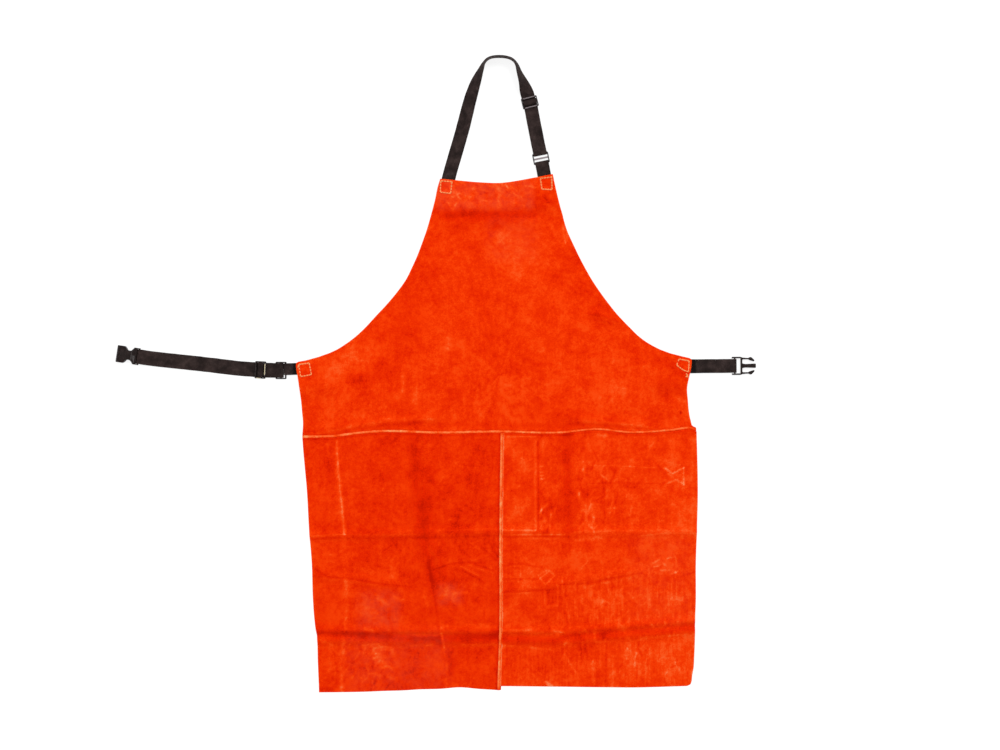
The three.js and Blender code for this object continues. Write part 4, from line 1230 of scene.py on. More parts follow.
class StrapPlan:
    """The line of a strap from above, read by the distance along it."""

    SAMPLES = 4000

    def __init__(self, rows: Sequence[Sequence[float]]) -> None:
        """Draws a centripetal curve.

        Args:
            rows: Places that it runs through, as x, y and roll in degrees.
        """
        points = np.array(rows, float)
        points[:, 2] = np.radians(points[:, 2])
        ends = np.vstack((2 * points[0] - points[1], points, 2 * points[-1] - points[-2]))
        spans = len(points) - 1
        t = np.linspace(0, spans, self.SAMPLES)
        k = np.minimum(t.astype(int), spans - 1)
        q = (t - k)[:, None]
        a, b, c, d = (ends[k + i] for i in range(4))
        da, db, dc = (np.sum((n - m) ** 2, 1)[:, None] ** 0.25 for m, n in ((a, b), (b, c), (c, d)))
        first = ((b - a) / da - (c - a) / (da + db) + (c - b) / db) * db
        second = ((c - b) / db - (d - b) / (db + dc) + (d - c) / dc) * db
        cubic = 2 * b - 2 * c + first + second
        square = -3 * b + 3 * c - 2 * first - second
        self.line = b + first * q + square * q**2 + cubic * q**3
        steps = np.linalg.norm(np.diff(self.line, axis=0), axis=1)
        self.along = np.concatenate(([0], np.cumsum(steps)))
        self.length = float(self.along[-1])

    def at(self, distance: float) -> tuple[Array, Array, float]:
        """Reads the plan at a distance, straight on past either end.

        Args:
            distance: Distance along the strap.

        Returns:
            Place on the floor, heading and roll.
        """
        inside = min(max(distance, 0.0), self.length)
        place = np.array([np.interp(inside, self.along, self.line[:, k]) for k in range(3)])
        k = int(np.clip(np.searchsorted(self.along, inside), 1, self.SAMPLES - 1))
        heading = self.line[k, :2] - self.line[k - 1, :2]
        heading = np.array([*heading / np.linalg.norm(heading), 0.0])
        spot = np.array([place[0], place[1], 0.0]) + heading * (distance - inside)
        return spot, heading, max(0.0, float(place[2]))

    def find(self, axis: int, value: float, start: float = 0.0) -> float:
        """Finds the distance past a start at which x or y comes closest to a value."""
        distances = start + np.arange(math.ceil(self.length - start))
        places = np.interp(distances, self.along, self.line[:, axis])
        return float(distances[int(np.argmin(np.abs(places - value)))])


class SideView:
    """A strap from the side: the distance along its plan and the height of its middle."""

    ARC_STEPS = 8

    def __init__(self, along: float, height: float) -> None:
        """Starts at a place."""
        self.points = [(along, height)]

    def line(self, along: float, height: float) -> "SideView":
        """Goes straight to a place."""
        self.points.append((along, height))
        return self

    def arc(
        self, along: float, height: float, radius: float, turns: tuple[Turn, Turn], clockwise: bool
    ) -> "SideView":
        """Goes round part of a circle.

        Args:
            along: Distance along the plan of the circle's middle.
            height: Height of the circle's middle.
            radius: Its radius.
            turns: Angles of the start and the end.
            clockwise: Which way round.

        Returns:
            The same side view.
        """
        start, end = turns[0].value, turns[1].value
        sweep = (end - start) % (2 * math.pi)
        if clockwise:
            sweep -= 2 * math.pi
        for k in range(self.ARC_STEPS + 1):
            angle = start + sweep * k / self.ARC_STEPS
            self.line(along + radius * math.cos(angle), height + radius * math.sin(angle))
        return self

    def spread(self, step: float) -> Array:
        """Drops doubled points and splits long stretches.

        Args:
            step: Length of the steps, about.

        Returns:
            Distance and height of each stop.
        """
        places = [np.array(self.points[0])]
        for point in map(np.array, self.points[1:]):
            gap = float(np.linalg.norm(point - places[-1]))
            if gap < 1e-4:
                continue
            count = max(1, round(gap / step))
            start = places[-1]
            places += [start + (point - start) * (k + 1) / count for k in range(count)]
        return np.array(places)


@dataclass
class StrapHeights:
    """Heights of the webbing's middle and of the hardware that it runs through."""

    webbing: float = 1.4
    gap: float = 0.3
    frame_thickness: float = 2.4
    bar_radius: float = 1.6
    socket: float = 4.8
    slot_turn: float = 1.5
    slope: float = 16
    tuck: float = 1
    bar_ease: float = 0.85
    centre_bar: float = 2.2
    slot: float = 5.8
    outer_bar: float = 2.8

    def __post_init__(self) -> None:
        """Works the heights out."""
        self.on_floor = self.webbing / 2
        self.on_webbing = self.on_floor + self.webbing + self.gap
        self.frame_turn = self.frame_thickness / 2 + self.gap + self.webbing / 2
        self.over_turn = self.frame_turn + self.webbing + self.gap
        self.ring = self.on_floor + self.frame_turn
        self.slider = self.on_webbing + self.frame_turn
        self.buckle_turn = self.bar_radius + self.gap + self.webbing / 2
        self.plug = self.on_floor + self.buckle_turn
        self.centre_turn = self.centre_bar / 2 - self.bar_ease
        self.outer_at = self.centre_bar / 2 + self.slot + self.outer_bar / 2
        self.outer_turn = self.outer_bar / 2 - self.bar_ease
        self.frame_end = self.outer_at + self.outer_bar / 2

    def adjustable_end(self, view: SideView, slider: float, ring: float, ring_turn: float) -> SideView:
        """Runs a strap through its slider, round its ring and back to the slider's middle bar.

        Args:
            view: The strap so far.
            slider: Distance of the slider along the plan.
            ring: Distance of the ring along the plan.
            ring_turn: Middle of the turn on the ring.

        Returns:
            The same side view.
        """
        near, far = slider - self.centre_turn, slider + self.centre_turn
        over, loop, slot = self.over_turn, self.frame_turn, self.slot_turn
        view.line(near - over - slot, self.on_floor)
        view.arc(near - over - slot, self.on_floor + slot, slot, (Turn.DOWN, Turn.RIGHT), False)
        view.arc(near, self.slider, over, (Turn.LEFT, Turn.UP), True)
        view.arc(far, self.slider, over, (Turn.UP, Turn.RIGHT), True)
        view.arc(far + over + slot, self.on_webbing + slot, slot, (Turn.LEFT, Turn.UNDER), False)
        view.line(ring - self.frame_end - self.slope, self.on_webbing)
        view.line(ring - self.frame_end, self.ring + loop)
        view.arc(ring_turn, self.ring, loop, (Turn.UP, Turn.RIGHT), True)
        view.arc(ring_turn, self.ring, loop, (Turn.RIGHT, Turn.DOWN), True)
        view.arc(far + loop + slot, self.on_floor + slot, slot, (Turn.DOWN, Turn.BACK), True)
        view.arc(far, self.slider, loop, (Turn.RIGHT, Turn.UP), False)
        view.arc(near, self.slider, loop, (Turn.UP, Turn.LEFT), False)
        view.arc(near, self.slider, loop, (Turn.LEFT, Turn.UNDER), False)
        return view.line(far + self.tuck, self.slider - loop)

    def tab(self, sewn_end: float, bar: float, height: float, turn: float, forward: bool) -> SideView:
        """Runs a doubled tab out from under the hide, round a bar and back.

        Args:
            sewn_end: Distance of the sewn end along the plan.
            bar: Distance of the bar.
            height: Height of the bar.
            turn: Radius of the webbing's turn on it.
            forward: True where the bar lies further along the plan than the sewn end.

        Returns:
            The tab's side view.
        """
        out = self.slope if forward else -self.slope
        side = Turn.RIGHT if forward else Turn.LEFT
        under = Turn.DOWN if forward else Turn.UNDER
        view = SideView(sewn_end, self.on_webbing).line(bar - out, self.on_webbing)
        view.arc(bar, height, turn, (Turn.UP, side), forward)
        view.arc(bar, height, turn, (side, under), forward)
        return view.line(bar - out, self.on_floor).line(sewn_end, self.on_floor)


@dataclass
class Strap:
    """A length of woven webbing swept along its plan and side view."""

    name: str
    plan: StrapPlan
    view: SideView
    width: float
    thickness: float = 1.4
    step: float = 3.0
    columns: int = 13
    mitre_limit: float = 0.7
    edge: float = 1.3
    edge_share: float = 0.4
    crowding: float = 0.35
    sway_cell: float = 9
    sway_out: float = 0.2
    sway_size: float = 0.5
    sway_spread: float = 40.0
    seed: int = 21
    # Places along the plan, with their reach, where the hide's edge casts a painted shadow on the webbing.
    painted_shade: Sequence[Point] = ()
    shift: float = 0.0

    def section(self) -> list[Point]:
        """Draws the section, whose points crowd towards the edges.

        Returns:
            Shares of the half width and the half thickness, in order round it.
        """
        even = 1 - self.crowding
        sides = np.cos(np.linspace(0.0, math.pi, self.columns)) * self.crowding
        sides += np.linspace(even, -even, self.columns)
        to_edge = (1 - np.abs(sides)) * self.width / 2
        thick = self.edge_share + (1 - self.edge_share) * smooth_step(to_edge / self.edge)
        upper = list(zip(sides, thick))
        return upper + [(side, -rise) for side, rise in upper[::-1]]

    def build(self, material: Material) -> Object:
        """Sweeps the section along the strap.

        Args:
            material: Finish of the webbing.

        Returns:
            The strap, with a map in metres along and across it.
        """
        stops = self.view.spread(self.step)
        steps = np.diff(stops, axis=0)
        lengths = np.linalg.norm(steps, axis=1)
        headings = steps / lengths[:, None]
        along = np.concatenate(([0], np.cumsum(lengths)))
        section = self.section()
        sway = ValueNoise(self.sway_cell, self.seed)
        up = np.array([0.0, 0.0, 1.0])
        verts, chart, shades = [], [], []
        for k, stop in enumerate(stops):
            # Painted shadow of the hide's edge.
            dark = sum(math.exp(-(((float(stop[0]) - at) / reach) ** 2)) for at, reach in self.painted_shade)
            before, after = headings[max(0, k - 1)], headings[min(k, len(headings) - 1)]
            middle = (before + after) / max(np.linalg.norm(before + after), 1e-9)
            half = self.thickness / 2 / max(self.mitre_limit, float(middle @ after))
            place, heading, roll = self.plan.at(float(stop[0]))
            run = heading * middle[0] + up * middle[1]
            across = np.cross(up, heading) * math.cos(roll) - up * math.sin(roll)
            face = np.cross(run, across)
            standing = self.width / 2 * math.sin(roll) - self.thickness / 2 * (1 - math.cos(roll))
            centre = place + up * (stop[1] + standing) + across * self.shift
            for side, rise in section:
                inward = self.sway_size * float(sway(along[k], self.sway_spread * np.sign(side)))
                reach = self.width / 2 + self.sway_out - inward
                verts.append(centre + across * side * reach + face * rise * half)
                chart.append((along[k] * MM, side * self.width / 2 * MM))
                shades.append(dark)
        faces = sweep_faces(len(stops), len(section))
        made = make_object(self.name, np.array(verts), faces, material, sharp_deg=60)
        set_values(made.data, "shade", np.array(shades))
        layer = made.data.uv_layers.new(name="weave")
        corners = np.empty(len(made.data.loops), int)
        made.data.loops.foreach_get("vertex_index", corners)
        layer.data.foreach_set("uv", np.array(chart)[corners].ravel())
        return made


# Hardware


def rounded_box(x0: float, x1: float, half: float, corner: float, steps: int = 5) -> list[Point]:
    """Draws a rectangle with round corners.

    Args:
        x0: Its start along.
        x1: Its end along.
        half: Half of its width.
        corner: Radius of its corners.
        steps: Steps round each corner.

    Returns:
        Its outline, counter-clockwise.
    """
    middles = ((x1 - corner, half - corner), (x0 + corner, half - corner))
    middles += ((x0 + corner, corner - half), (x1 - corner, corner - half))
    found = []
    for k, (x, y) in enumerate(middles):
        for step in range(steps + 1):
            angle = math.pi / 2 * (k + step / steps)
            found.append((x + corner * math.cos(angle), y + corner * math.sin(angle)))
    return found


def split_long(outline: Sequence[Point], step: float = 2.5) -> list[Point]:
    """Splits the long sides of an outline.

    Args:
        outline: Its corners.
        step: Length of the steps, about.

    Returns:
        The outline with more corners.
    """
    found = []
    for (x0, y0), (x1, y1) in zip(outline, [*outline[1:], outline[0]]):
        count = max(1, round(math.hypot(x1 - x0, y1 - y0) / step))
        found += [(x0 + (x1 - x0) * k / count, y0 + (y1 - y0) * k / count) for k in range(count)]
    return found


def both_sides(half: Sequence[Point]) -> list[Point]:
    """Mirrors a half outline, the lower side forwards and the upper one back again."""
    return [(along, -out) for along, out in half] + [(along, out) for along, out in reversed(half)]


def plate(outlines: Sequence[Sequence[Point]], thickness: float, bevel: float, height: float = 0) -> Object:
    """Makes a plate with round edges, in millimetres, centred on a height.

    Args:
        outlines: Its outline, then any holes.
        thickness: Its thickness.
        bevel: Radius of its edges.
        height: Height of its middle.

    Returns:
        A plate that further cuts can be made in.
    """
    curve = bpy.data.curves.new("plate", "CURVE")
    curve.dimensions = "2D"
    curve.fill_mode = "BOTH"
    curve.extrude = thickness / 2 - bevel
    curve.bevel_depth = bevel
    curve.bevel_resolution = 3
    curve.offset = -bevel
    for outline in map(split_long, outlines):
        spline = curve.splines.new("POLY")
        spline.points.add(len(outline) - 1)
        spline.use_cyclic_u = True
        for point, (x, y) in zip(spline.points, outline):
            point.co = (x, y, 0, 1)
    source = bpy.data.objects.new("plate", curve)
    bpy.context.scene.collection.objects.link(source)
    mesh = evaluated_mesh(source)
    bpy.data.curves.remove(curve)
    shape = bmesh.new()
    shape.from_mesh(mesh)
    bmesh.ops.remove_doubles(shape, verts=shape.verts, dist=1e-4)
    bmesh.ops.recalc_face_normals(shape, faces=shape.faces)
    bmesh.ops.translate(shape, verts=shape.verts, vec=(0, 0, height))
    shape.to_mesh(mesh)
    shape.free()
    mesh.materials.clear()
    return link_mesh("plate", mesh)


def block(x: Point, y: Point, z: Point) -> Object:
    """Makes a plain block, in millimetres.

    Args:
        x: Its start and end along.
        y: Its start and end across.
        z: Its foot and top.

    Returns:
        The block.
    """
    shape = bmesh.new()
    bmesh.ops.create_cube(shape, size=1)
    low, high = np.array((x, y, z), float).T
    shape.transform(Matrix.Translation((low + high) / 2) @ Matrix.Diagonal((*(high - low), 1)))
    mesh = bpy.data.meshes.new("block")
    shape.to_mesh(mesh)
    shape.free()
    return link_mesh("block", mesh)


def round_bar(radius: float, half_length: float) -> Object:
    """Makes a round bar across the strap on the origin, in millimetres.

    Args:
        radius: Its radius.
        half_length: Half of its length.

    Returns:
        The bar.
    """
    shape = bmesh.new()
    bmesh.ops.create_cone(
        shape, cap_ends=True, segments=28, radius1=radius, radius2=radius, depth=2 * half_length
    )
    shape.transform(Matrix.Rotation(math.pi / 2, 4, "X"))
    mesh = bpy.data.meshes.new("bar")
    shape.to_mesh(mesh)
    shape.free()
    return link_mesh("bar", mesh)


class Cut(Enum):
    """Ways to join a solid to another."""

    REMOVE = "DIFFERENCE"
    JOIN = "UNION"


def carve(body: Object, steps: Sequence[tuple[Cut, Object]]) -> Mesh:
    """Cuts and joins solids in turn.

    Args:
        body: The solid to start from, which is used up.
        steps: What to do with each further solid, which is used up too.

    Returns:
        The mesh that is left, in millimetres.
    """
    for cut, tool in steps:
        step = body.modifiers.new(cut.name, "BOOLEAN")
        step.operation = cut.value
        step.solver = "EXACT"
        step.object = tool
        body = link_mesh("carved", evaluated_mesh(body))
        bpy.data.objects.remove(tool)
    mesh = evaluated_mesh(body)
    shape = bmesh.new()
    shape.from_mesh(mesh)
    bmesh.ops.remove_doubles(shape, verts=shape.verts, dist=1e-4)
    bmesh.ops.dissolve_degenerate(shape, edges=shape.edges, dist=1e-4)
    shape.to_mesh(mesh)
    shape.free()
    return mesh


@dataclass(frozen=True)
class Seat:
    """Where a piece of hardware sits on its strap."""

    plan: StrapPlan
    distance: float
    height: float

    def matrix(self) -> Matrix:
        """Gives the move from the piece's own millimetres to the scene's metres."""
        place, heading, _ = self.plan.at(self.distance)
        spot = Vector((place[0] * MM, place[1] * MM, self.height * MM))
        turn = Matrix.Rotation(math.atan2(heading[1], heading[0]), 4, "Z")
        return Matrix.Translation(spot) @ turn @ Matrix.Scale(MM, 4)


@dataclass
class Hardware:
    """A moulded piece on a strap; places with painted sheen and worn spots are boxes along and across it."""

    name: str
    seat: Seat
    worn_and_sheen: Sequence[tuple[Point, Point]] = ()
    sheen_and_worn_level: float = 1.0

    def solid(self) -> Mesh:
        """Shapes the piece in its own millimetres."""
        raise NotImplementedError

    def dress(self, material: Material) -> Object:
        """Shapes the piece, seats it on its strap and hands it over.

        Args:
            material: Finish of the piece.

        Returns:
            The piece.
        """
        mesh = self.solid()
        places = np.empty(len(mesh.vertices) * 3)
        mesh.vertices.foreach_get("co", places)
        x, y, z = places.reshape(-1, 3).T
        wear_and_painted_light = np.zeros(len(x))
        # Marks the painted sheen and worn spots for the finish.
        for (x0, x1), (y0, y1) in self.worn_and_sheen:
            wear_and_painted_light[(x > x0) & (x < x1) & (y > y0) & (y < y1) & (z > 0)] = self.sheen_and_worn_level
        mesh.transform(self.seat.matrix())
        made = mesh_object(self.name, mesh, material, sharp_deg=12)
        set_values(made.data, "wear_and_painted_light", wear_and_painted_light)
        return hand_over(made, Slot.PLASTIC, self.name)


@dataclass
class FrameHardware(Hardware):
    """A two-slot frame: a slider or a ring."""

    webbing: float = 24
    side: float = 2.1
    slot: float = 5.8
    centre_bar: float = 2.2
    outer_bar: float = 2.8
    thickness: float = 2.4
    bevel: float = 0.85
    corner: float = 1.8
    slot_corner: float = 0.8
    play: float = 0.3

    def solid(self) -> Mesh:
        """Shapes the frame with round bars.

        Returns:
            The frame in its own millimetres.
        """
        half = (self.webbing + self.play) / 2
        near = self.centre_bar / 2
        far = near + self.slot
        end = far + self.outer_bar
        outline = rounded_box(-end, end, half + self.side, self.corner)
        slots = [rounded_box(x0, x0 + self.slot, half, self.slot_corner) for x0 in (near, -far)]
        return carve(plate([outline, *slots], self.thickness, self.bevel), [])


@dataclass
class BuckleSocket(Hardware):
    """The hollow half of the side-release buckle, its mouth to -X and its bar on the origin."""

    outline: Sequence[Point] = (
        (-38, 13.9), (-37, 14.9), (-25.8, 14.9), (-24.4, 14.3), (-23.2, 13), (-22.2, 11.4),
        (-21.1, 9.7), (-20.2, 8.7), (-19, 8.3), (-14.6, 8.3), (-13.2, 8.9), (-11, 11.1),
        (-9, 13.7), (-8, 14.6), (-6.9, 14.9), (-4.1, 14.9), (-3.2, 14.1),
    )
    thickness: float = 9.6
    bevel: float = 0.8
    wall: float = 1.7
    rail: float = 2.4
    slot_half: float = 13.6
    rail_half: float = 14.85
    bar: float = 1.6
    bar_half: float = 14.2
    hollow: tuple[Point, Point] = ((-80, -12.5), (-12.6, 12.6))
    lip: tuple[float, float, float, float] = (-37, -33.8, 13.2, 1.2)
    flare: Sequence[Point] = ((-13, 7.2), (-11.6, 8.6), (-8.4, 12.6), (-7.4, 12.6))
    wedge_top: Sequence[tuple] = ((-13.2, 0.5, 0.2), (-5.6, -12.8, 1.4), (-5.6, 0.5, 1.4))
    wedge_root: float = 1

    def solid(self) -> Mesh:
        """Shapes the shell, its rails and bar, and the raised mouldings on its top.

        Returns:
            The socket in its own millimetres.
        """
        half = self.thickness / 2
        inner = half - self.wall
        steps = [
            (Cut.REMOVE, block(*self.hollow, (-inner, inner))),
            (Cut.JOIN, self.rail_plate(1)),
            (Cut.JOIN, self.rail_plate(-1)),
            (Cut.JOIN, round_bar(self.bar, self.bar_half)),
            (Cut.JOIN, plate([rounded_box(*self.lip)], thickness=1.6, bevel=0.5, height=half)),
            (Cut.JOIN, plate([both_sides(self.flare)], thickness=1.4, bevel=0.6, height=half)),
            (Cut.JOIN, self.wedge(half)),
        ]
        return carve(plate([both_sides(self.outline)], self.thickness, self.bevel), steps)

    def wedge(self, height: float) -> Object:
        """Makes the sloping face on one half of the flare.

        Args:
            height: Height of the socket's top.

        Returns:
            The solid under that face.
        """
        verts = [(x, y, height - self.wedge_root) for x, y, _ in self.wedge_top]
        verts += [(x, y, height + rise) for x, y, rise in self.wedge_top]
        mesh = bpy.data.meshes.new("wedge")
        mesh.from_pydata(verts, [], [(0, 2, 1), (3, 4, 5), (0, 1, 4, 3), (1, 2, 5, 4), (2, 0, 3, 5)])
        return link_mesh("wedge", mesh)

    def rail_plate(self, side: int) -> Object:
        """Makes the rail that carries the bar on one side."""
        inner, outer = self.slot_half, self.rail_half
        rows = ((-9, inner), (1, inner), (1.6, inner + 0.3), (1.6, outer - 0.5), (1, outer), (-9, outer))
        return plate([[(x, side * y) for x, y in rows]], thickness=2 * self.rail, bevel=0.4)


@dataclass
class BucklePlug(Hardware):
    """The pronged half of the side-release buckle, its prongs to +X and its bar on the origin."""

    outline: Sequence[Point] = (
        (-5.2, 15.2), (-4.4, 16), (9, 16), (11.2, 15.5), (13.2, 14.6), (18, 14.1), (23, 13.8),
        (24.6, 14.1), (26, 15.1), (26.8, 15.4), (28, 15.4), (29.4, 14.9), (33.6, 10.9),
        (34.3, 9.7), (34.4, 8.4), (33.8, 7.6), (32.6, 7.7), (25.8, 9.7), (24.6, 10.5),
        (23.5, 11.2), (14.7, 11.2), (13.6, 10.8), (13.2, 10), (13.2, 4.6), (14.6, 3.8),
        (18, 3.2), (27, 3.5), (35.9, 3.9), (36.7, 3.4), (36.9, 2.5),
    )
    inside: Sequence[Point] = ((-5.2, 13.2), (9.9, 13.2))
    thickness: float = 5
    bevel: float = 0.7
    bar: float = 1.6
    bar_half: float = 14.0

    def solid(self) -> Mesh:
        """Shapes the prongs, the guide and the rails, with the bar between them."""
        outline = both_sides(self.outline) + both_sides(self.inside)[::-1]
        bar = round_bar(self.bar, self.bar_half)
        return carve(plate([outline], self.thickness, self.bevel), [(Cut.JOIN, bar)])


# Stitching


@dataclass
class Stitching:
    """Lines of sewing thread laid on the hide as single stitches."""

    name: str
    form: HideForm
    lines: Sequence[Sequence[Point]]
    pitch: float = 4.4
    length: float = 5.6
    thickness: float = 2.7
    lift: float = 0.2
    chain_step: float = 1.5
    variation: Point = (0.85, 1.08)
    segments: int = 10
    rings: int = 6
    seed: int = 4

    def chains(self) -> Object:
        """Draws the lines on the hide.

        Returns:
            An object of chains of short edges.
        """
        verts, edges = [], []
        for line in self.lines:
            for (x0, y0), (x1, y1) in zip(line, line[1:]):
                run = math.hypot(x1 - x0, y1 - y0)
                count = max(2, int(run / self.chain_step))
                start = len(verts)
                share = np.linspace(0.5, run / self.pitch - 0.5, count + 1) * self.pitch / run
                x, y = x0 + (x1 - x0) * share, y0 + (y1 - y0) * share
                verts += [*zip(x * MM, y * MM, (self.form.top(x, y) + self.lift) * MM)]
                edges += [(start + k, start + k + 1) for k in range(count)]
        mesh = bpy.data.meshes.new(self.name)
        mesh.from_pydata(verts, edges, [])
        return link_mesh(self.name, mesh)

    def tree(self) -> NodeTree:
        """Builds the node tree that lays a stitch at every pitch along the chains.

        Returns:
            A tree with named inputs for the pitch, length, thickness, seed and material.
        """
        tree = bpy.data.node_groups.new("stitches", "GeometryNodeTree")
        sockets = (
            ("Geometry", "Geometry"), ("Pitch", "Float"), ("Length", "Float"), ("Thickness", "Float"),
            ("Seed", "Int"), ("Material", "Material"),
        )
        for label, kind in sockets:
            tree.interface.new_socket(label, in_out="INPUT", socket_type="NodeSocket" + kind)
        tree.interface.new_socket("Geometry", in_out="OUTPUT", socket_type="NodeSocketGeometry")
        made = {
            key: tree.nodes.new(kind)
            for key, kind in (
                ("in", "NodeGroupInput"), ("out", "NodeGroupOutput"), ("curve", "GeometryNodeMeshToCurve"),
                ("even", "GeometryNodeResampleCurve"), ("tangent", "GeometryNodeInputTangent"),
                ("turn", "FunctionNodeAlignRotationToVector"), ("ball", "GeometryNodeMeshUVSphere"),
                ("size", "ShaderNodeCombineXYZ"), ("vary", "FunctionNodeRandomValue"),
                ("lay", "GeometryNodeInstanceOnPoints"), ("real", "GeometryNodeRealizeInstances"),
                ("shade", "GeometryNodeSetShadeSmooth"), ("paint", "GeometryNodeSetMaterial"),
                ("stretch", "ShaderNodeMath"),
            )
        }
        made["even"].mode = "LENGTH"
        made["turn"].axis = "X"
        made["stretch"].operation = "MULTIPLY"
        made["ball"].inputs["Segments"].default_value = self.segments
        made["ball"].inputs["Rings"].default_value = self.rings
        made["ball"].inputs["Radius"].default_value = 0.5
        low, high = (s for s in made["vary"].inputs if s.name in ("Min", "Max") and s.type == "VALUE")
        low.default_value, high.default_value = self.variation
        joins = (
            ("in", "Geometry", "curve", 0), ("curve", 0, "even", 0), ("in", "Pitch", "even", "Length"),
            ("even", 0, "lay", "Points"), ("tangent", 0, "turn", "Vector"), ("turn", 0, "lay", "Rotation"),
            ("ball", 0, "lay", "Instance"), ("in", "Seed", "vary", "Seed"), ("vary", 1, "stretch", 0),
            ("in", "Length", "stretch", 1), ("stretch", 0, "size", "X"), ("in", "Thickness", "size", "Y"),
            ("in", "Thickness", "size", "Z"), ("size", 0, "lay", "Scale"), ("lay", 0, "shade", 0),
            ("shade", 0, "real", 0), ("real", 0, "paint", 0), ("in", "Material", "paint", "Material"),
            ("paint", 0, "out", 0),
        )
        for source, leaves, target, enters in joins:
            tree.links.new(made[source].outputs[leaves], made[target].inputs[enters])
        return tree

    def dress(self, material: Material) -> Object:
        """Lays the stitches, turns them into a mesh and hands them over.

        Args:
            material: Finish of the thread.

        Returns:
            The stitches as one piece.
        """
        source = self.chains()
        modifier = source.modifiers.new("stitches", "NODES")
        tree = self.tree()
        values = {
            "Pitch": self.pitch * MM, "Length": self.length * MM, "Thickness": self.thickness * MM,
            "Seed": self.seed, "Material": material,
        }
        modifier.node_group = tree
        for item in tree.interface.items_tree:
            if item.in_out == "INPUT" and item.name in values:
                modifier[item.identifier] = values[item.name]
        made = mesh_object(self.name, evaluated_mesh(source), material, sharp_deg=180)
        return hand_over(made, Slot.WELT)


# Studio


@dataclass
class Studio:
    """White floor, soft light from the upper right and a camera looking straight down."""

    view_width: float = 1.757
    camera_height: float = 3.0
    sensor: float = 36.0
    sky: float = 0.74
    ceiling: float = 0.12
    ceiling_rim: Point = (0.78, 0.96)
    floor_half: float = 4.0
    lights: Sequence[tuple[str, tuple, float, float]] = (
        ("key", (3.0, 3.2, 6.0), 300, 2.6),
        ("fill", (-5.0, 1.0, 5.0), 155, 4.8),
    )

    def build(self) -> None:
        """Sets the floor, the world, the lights, the camera and the picture's tones."""
        self.floor()
        self.room()
        for name, place, power, size in self.lights:
            self.lamp(name, Vector(place), power, size)
        self.camera()
        bpy.context.scene.view_settings.view_transform = "Standard"
        bpy.context.scene.view_settings.look = "None"

    def room(self) -> None:
        """Lights the room evenly all round, with a dim patch of ceiling straight above."""
        world = bpy.data.worlds.new("studio")
        world.use_nodes = True
        tree = world.node_tree
        sky = tree.nodes["Background"]
        heading = tree.nodes.new("ShaderNodeSeparateXYZ")
        dim = tree.nodes.new("ShaderNodeMapRange")
        dim.interpolation_type = "SMOOTHSTEP"
        ends = zip(("From Min", "From Max", "To Min", "To Max"), (*self.ceiling_rim, self.sky, self.ceiling))
        for name, value in ends:
            dim.inputs[name].default_value = value
        tree.links.new(tree.nodes.new("ShaderNodeTexCoord").outputs["Generated"], heading.inputs["Vector"])
        tree.links.new(heading.outputs["Z"], dim.inputs["Value"])
        tree.links.new(dim.outputs["Result"], sky.inputs["Strength"])
        sky.inputs["Color"].default_value = (1, 1, 1, 1)
        bpy.context.scene.world = world

    def floor(self) -> None:
        """Lays the floor under the apron."""
        half = self.floor_half
        corners = np.array([(-half, -half, 0), (half, -half, 0), (half, half, 0), (-half, half, 0)]) / MM
        floor = make_object("studio_floor", corners, [(0, 1, 2, 3)], FloorFinish().material())

    def lamp(self, name: str, place: Vector, power: float, size: float) -> None:
        """Hangs a soft square light that faces the middle of the apron.

        Args:
            name: Its name.
            place: Its place, in metres.
            power: Its power, in watts.
            size: Length of its sides, in metres.
        """
        data = bpy.data.lights.new(name, "AREA")
        data.energy = power
        data.size = size
        lamp = bpy.data.objects.new(name, data)
        lamp.location = place
        lamp.rotation_euler = (-place).to_track_quat("-Z", "Y").to_euler()
        bpy.context.scene.collection.objects.link(lamp)

    def camera(self) -> None:
        """Hangs the camera over the origin with the top of the picture to +Y."""
        data = bpy.data.cameras.new("camera")
        data.sensor_fit = "HORIZONTAL"
        data.sensor_width = self.sensor
        data.lens = self.sensor * self.camera_height / self.view_width
        camera = bpy.data.objects.new("camera", data)
        camera.location = (0, 0, self.camera_height)
        bpy.context.scene.collection.objects.link(camera)
        bpy.context.scene.camera = camera


# Assembly


THREAD_LINES = (
    ((-104, 340.5), (-84.3, 339.1), (-86.6, 318.7), (-104.7, 320.8), (-104, 340.5)),
    ((90.5, 349), (91.2, 325.2), (73.6, 325.9), (70.8, 344.9), (91.2, 347)),
    ((-354.5, 12.3), (-353, 18.4), (-334.7, 20.9), (-330.7, 0.7), (-349.8, -2.8), (-353, 18.4)),
    ((313.8, 28.1), (331.7, 24.6), (330.5, 5.4), (321.9, 8.4), (310.1, 17), (313.8, 28.1)),
    ((326.5, 2.2), (329.4, -0.6), (326.8, -2.6), (330, -3.6)),
)


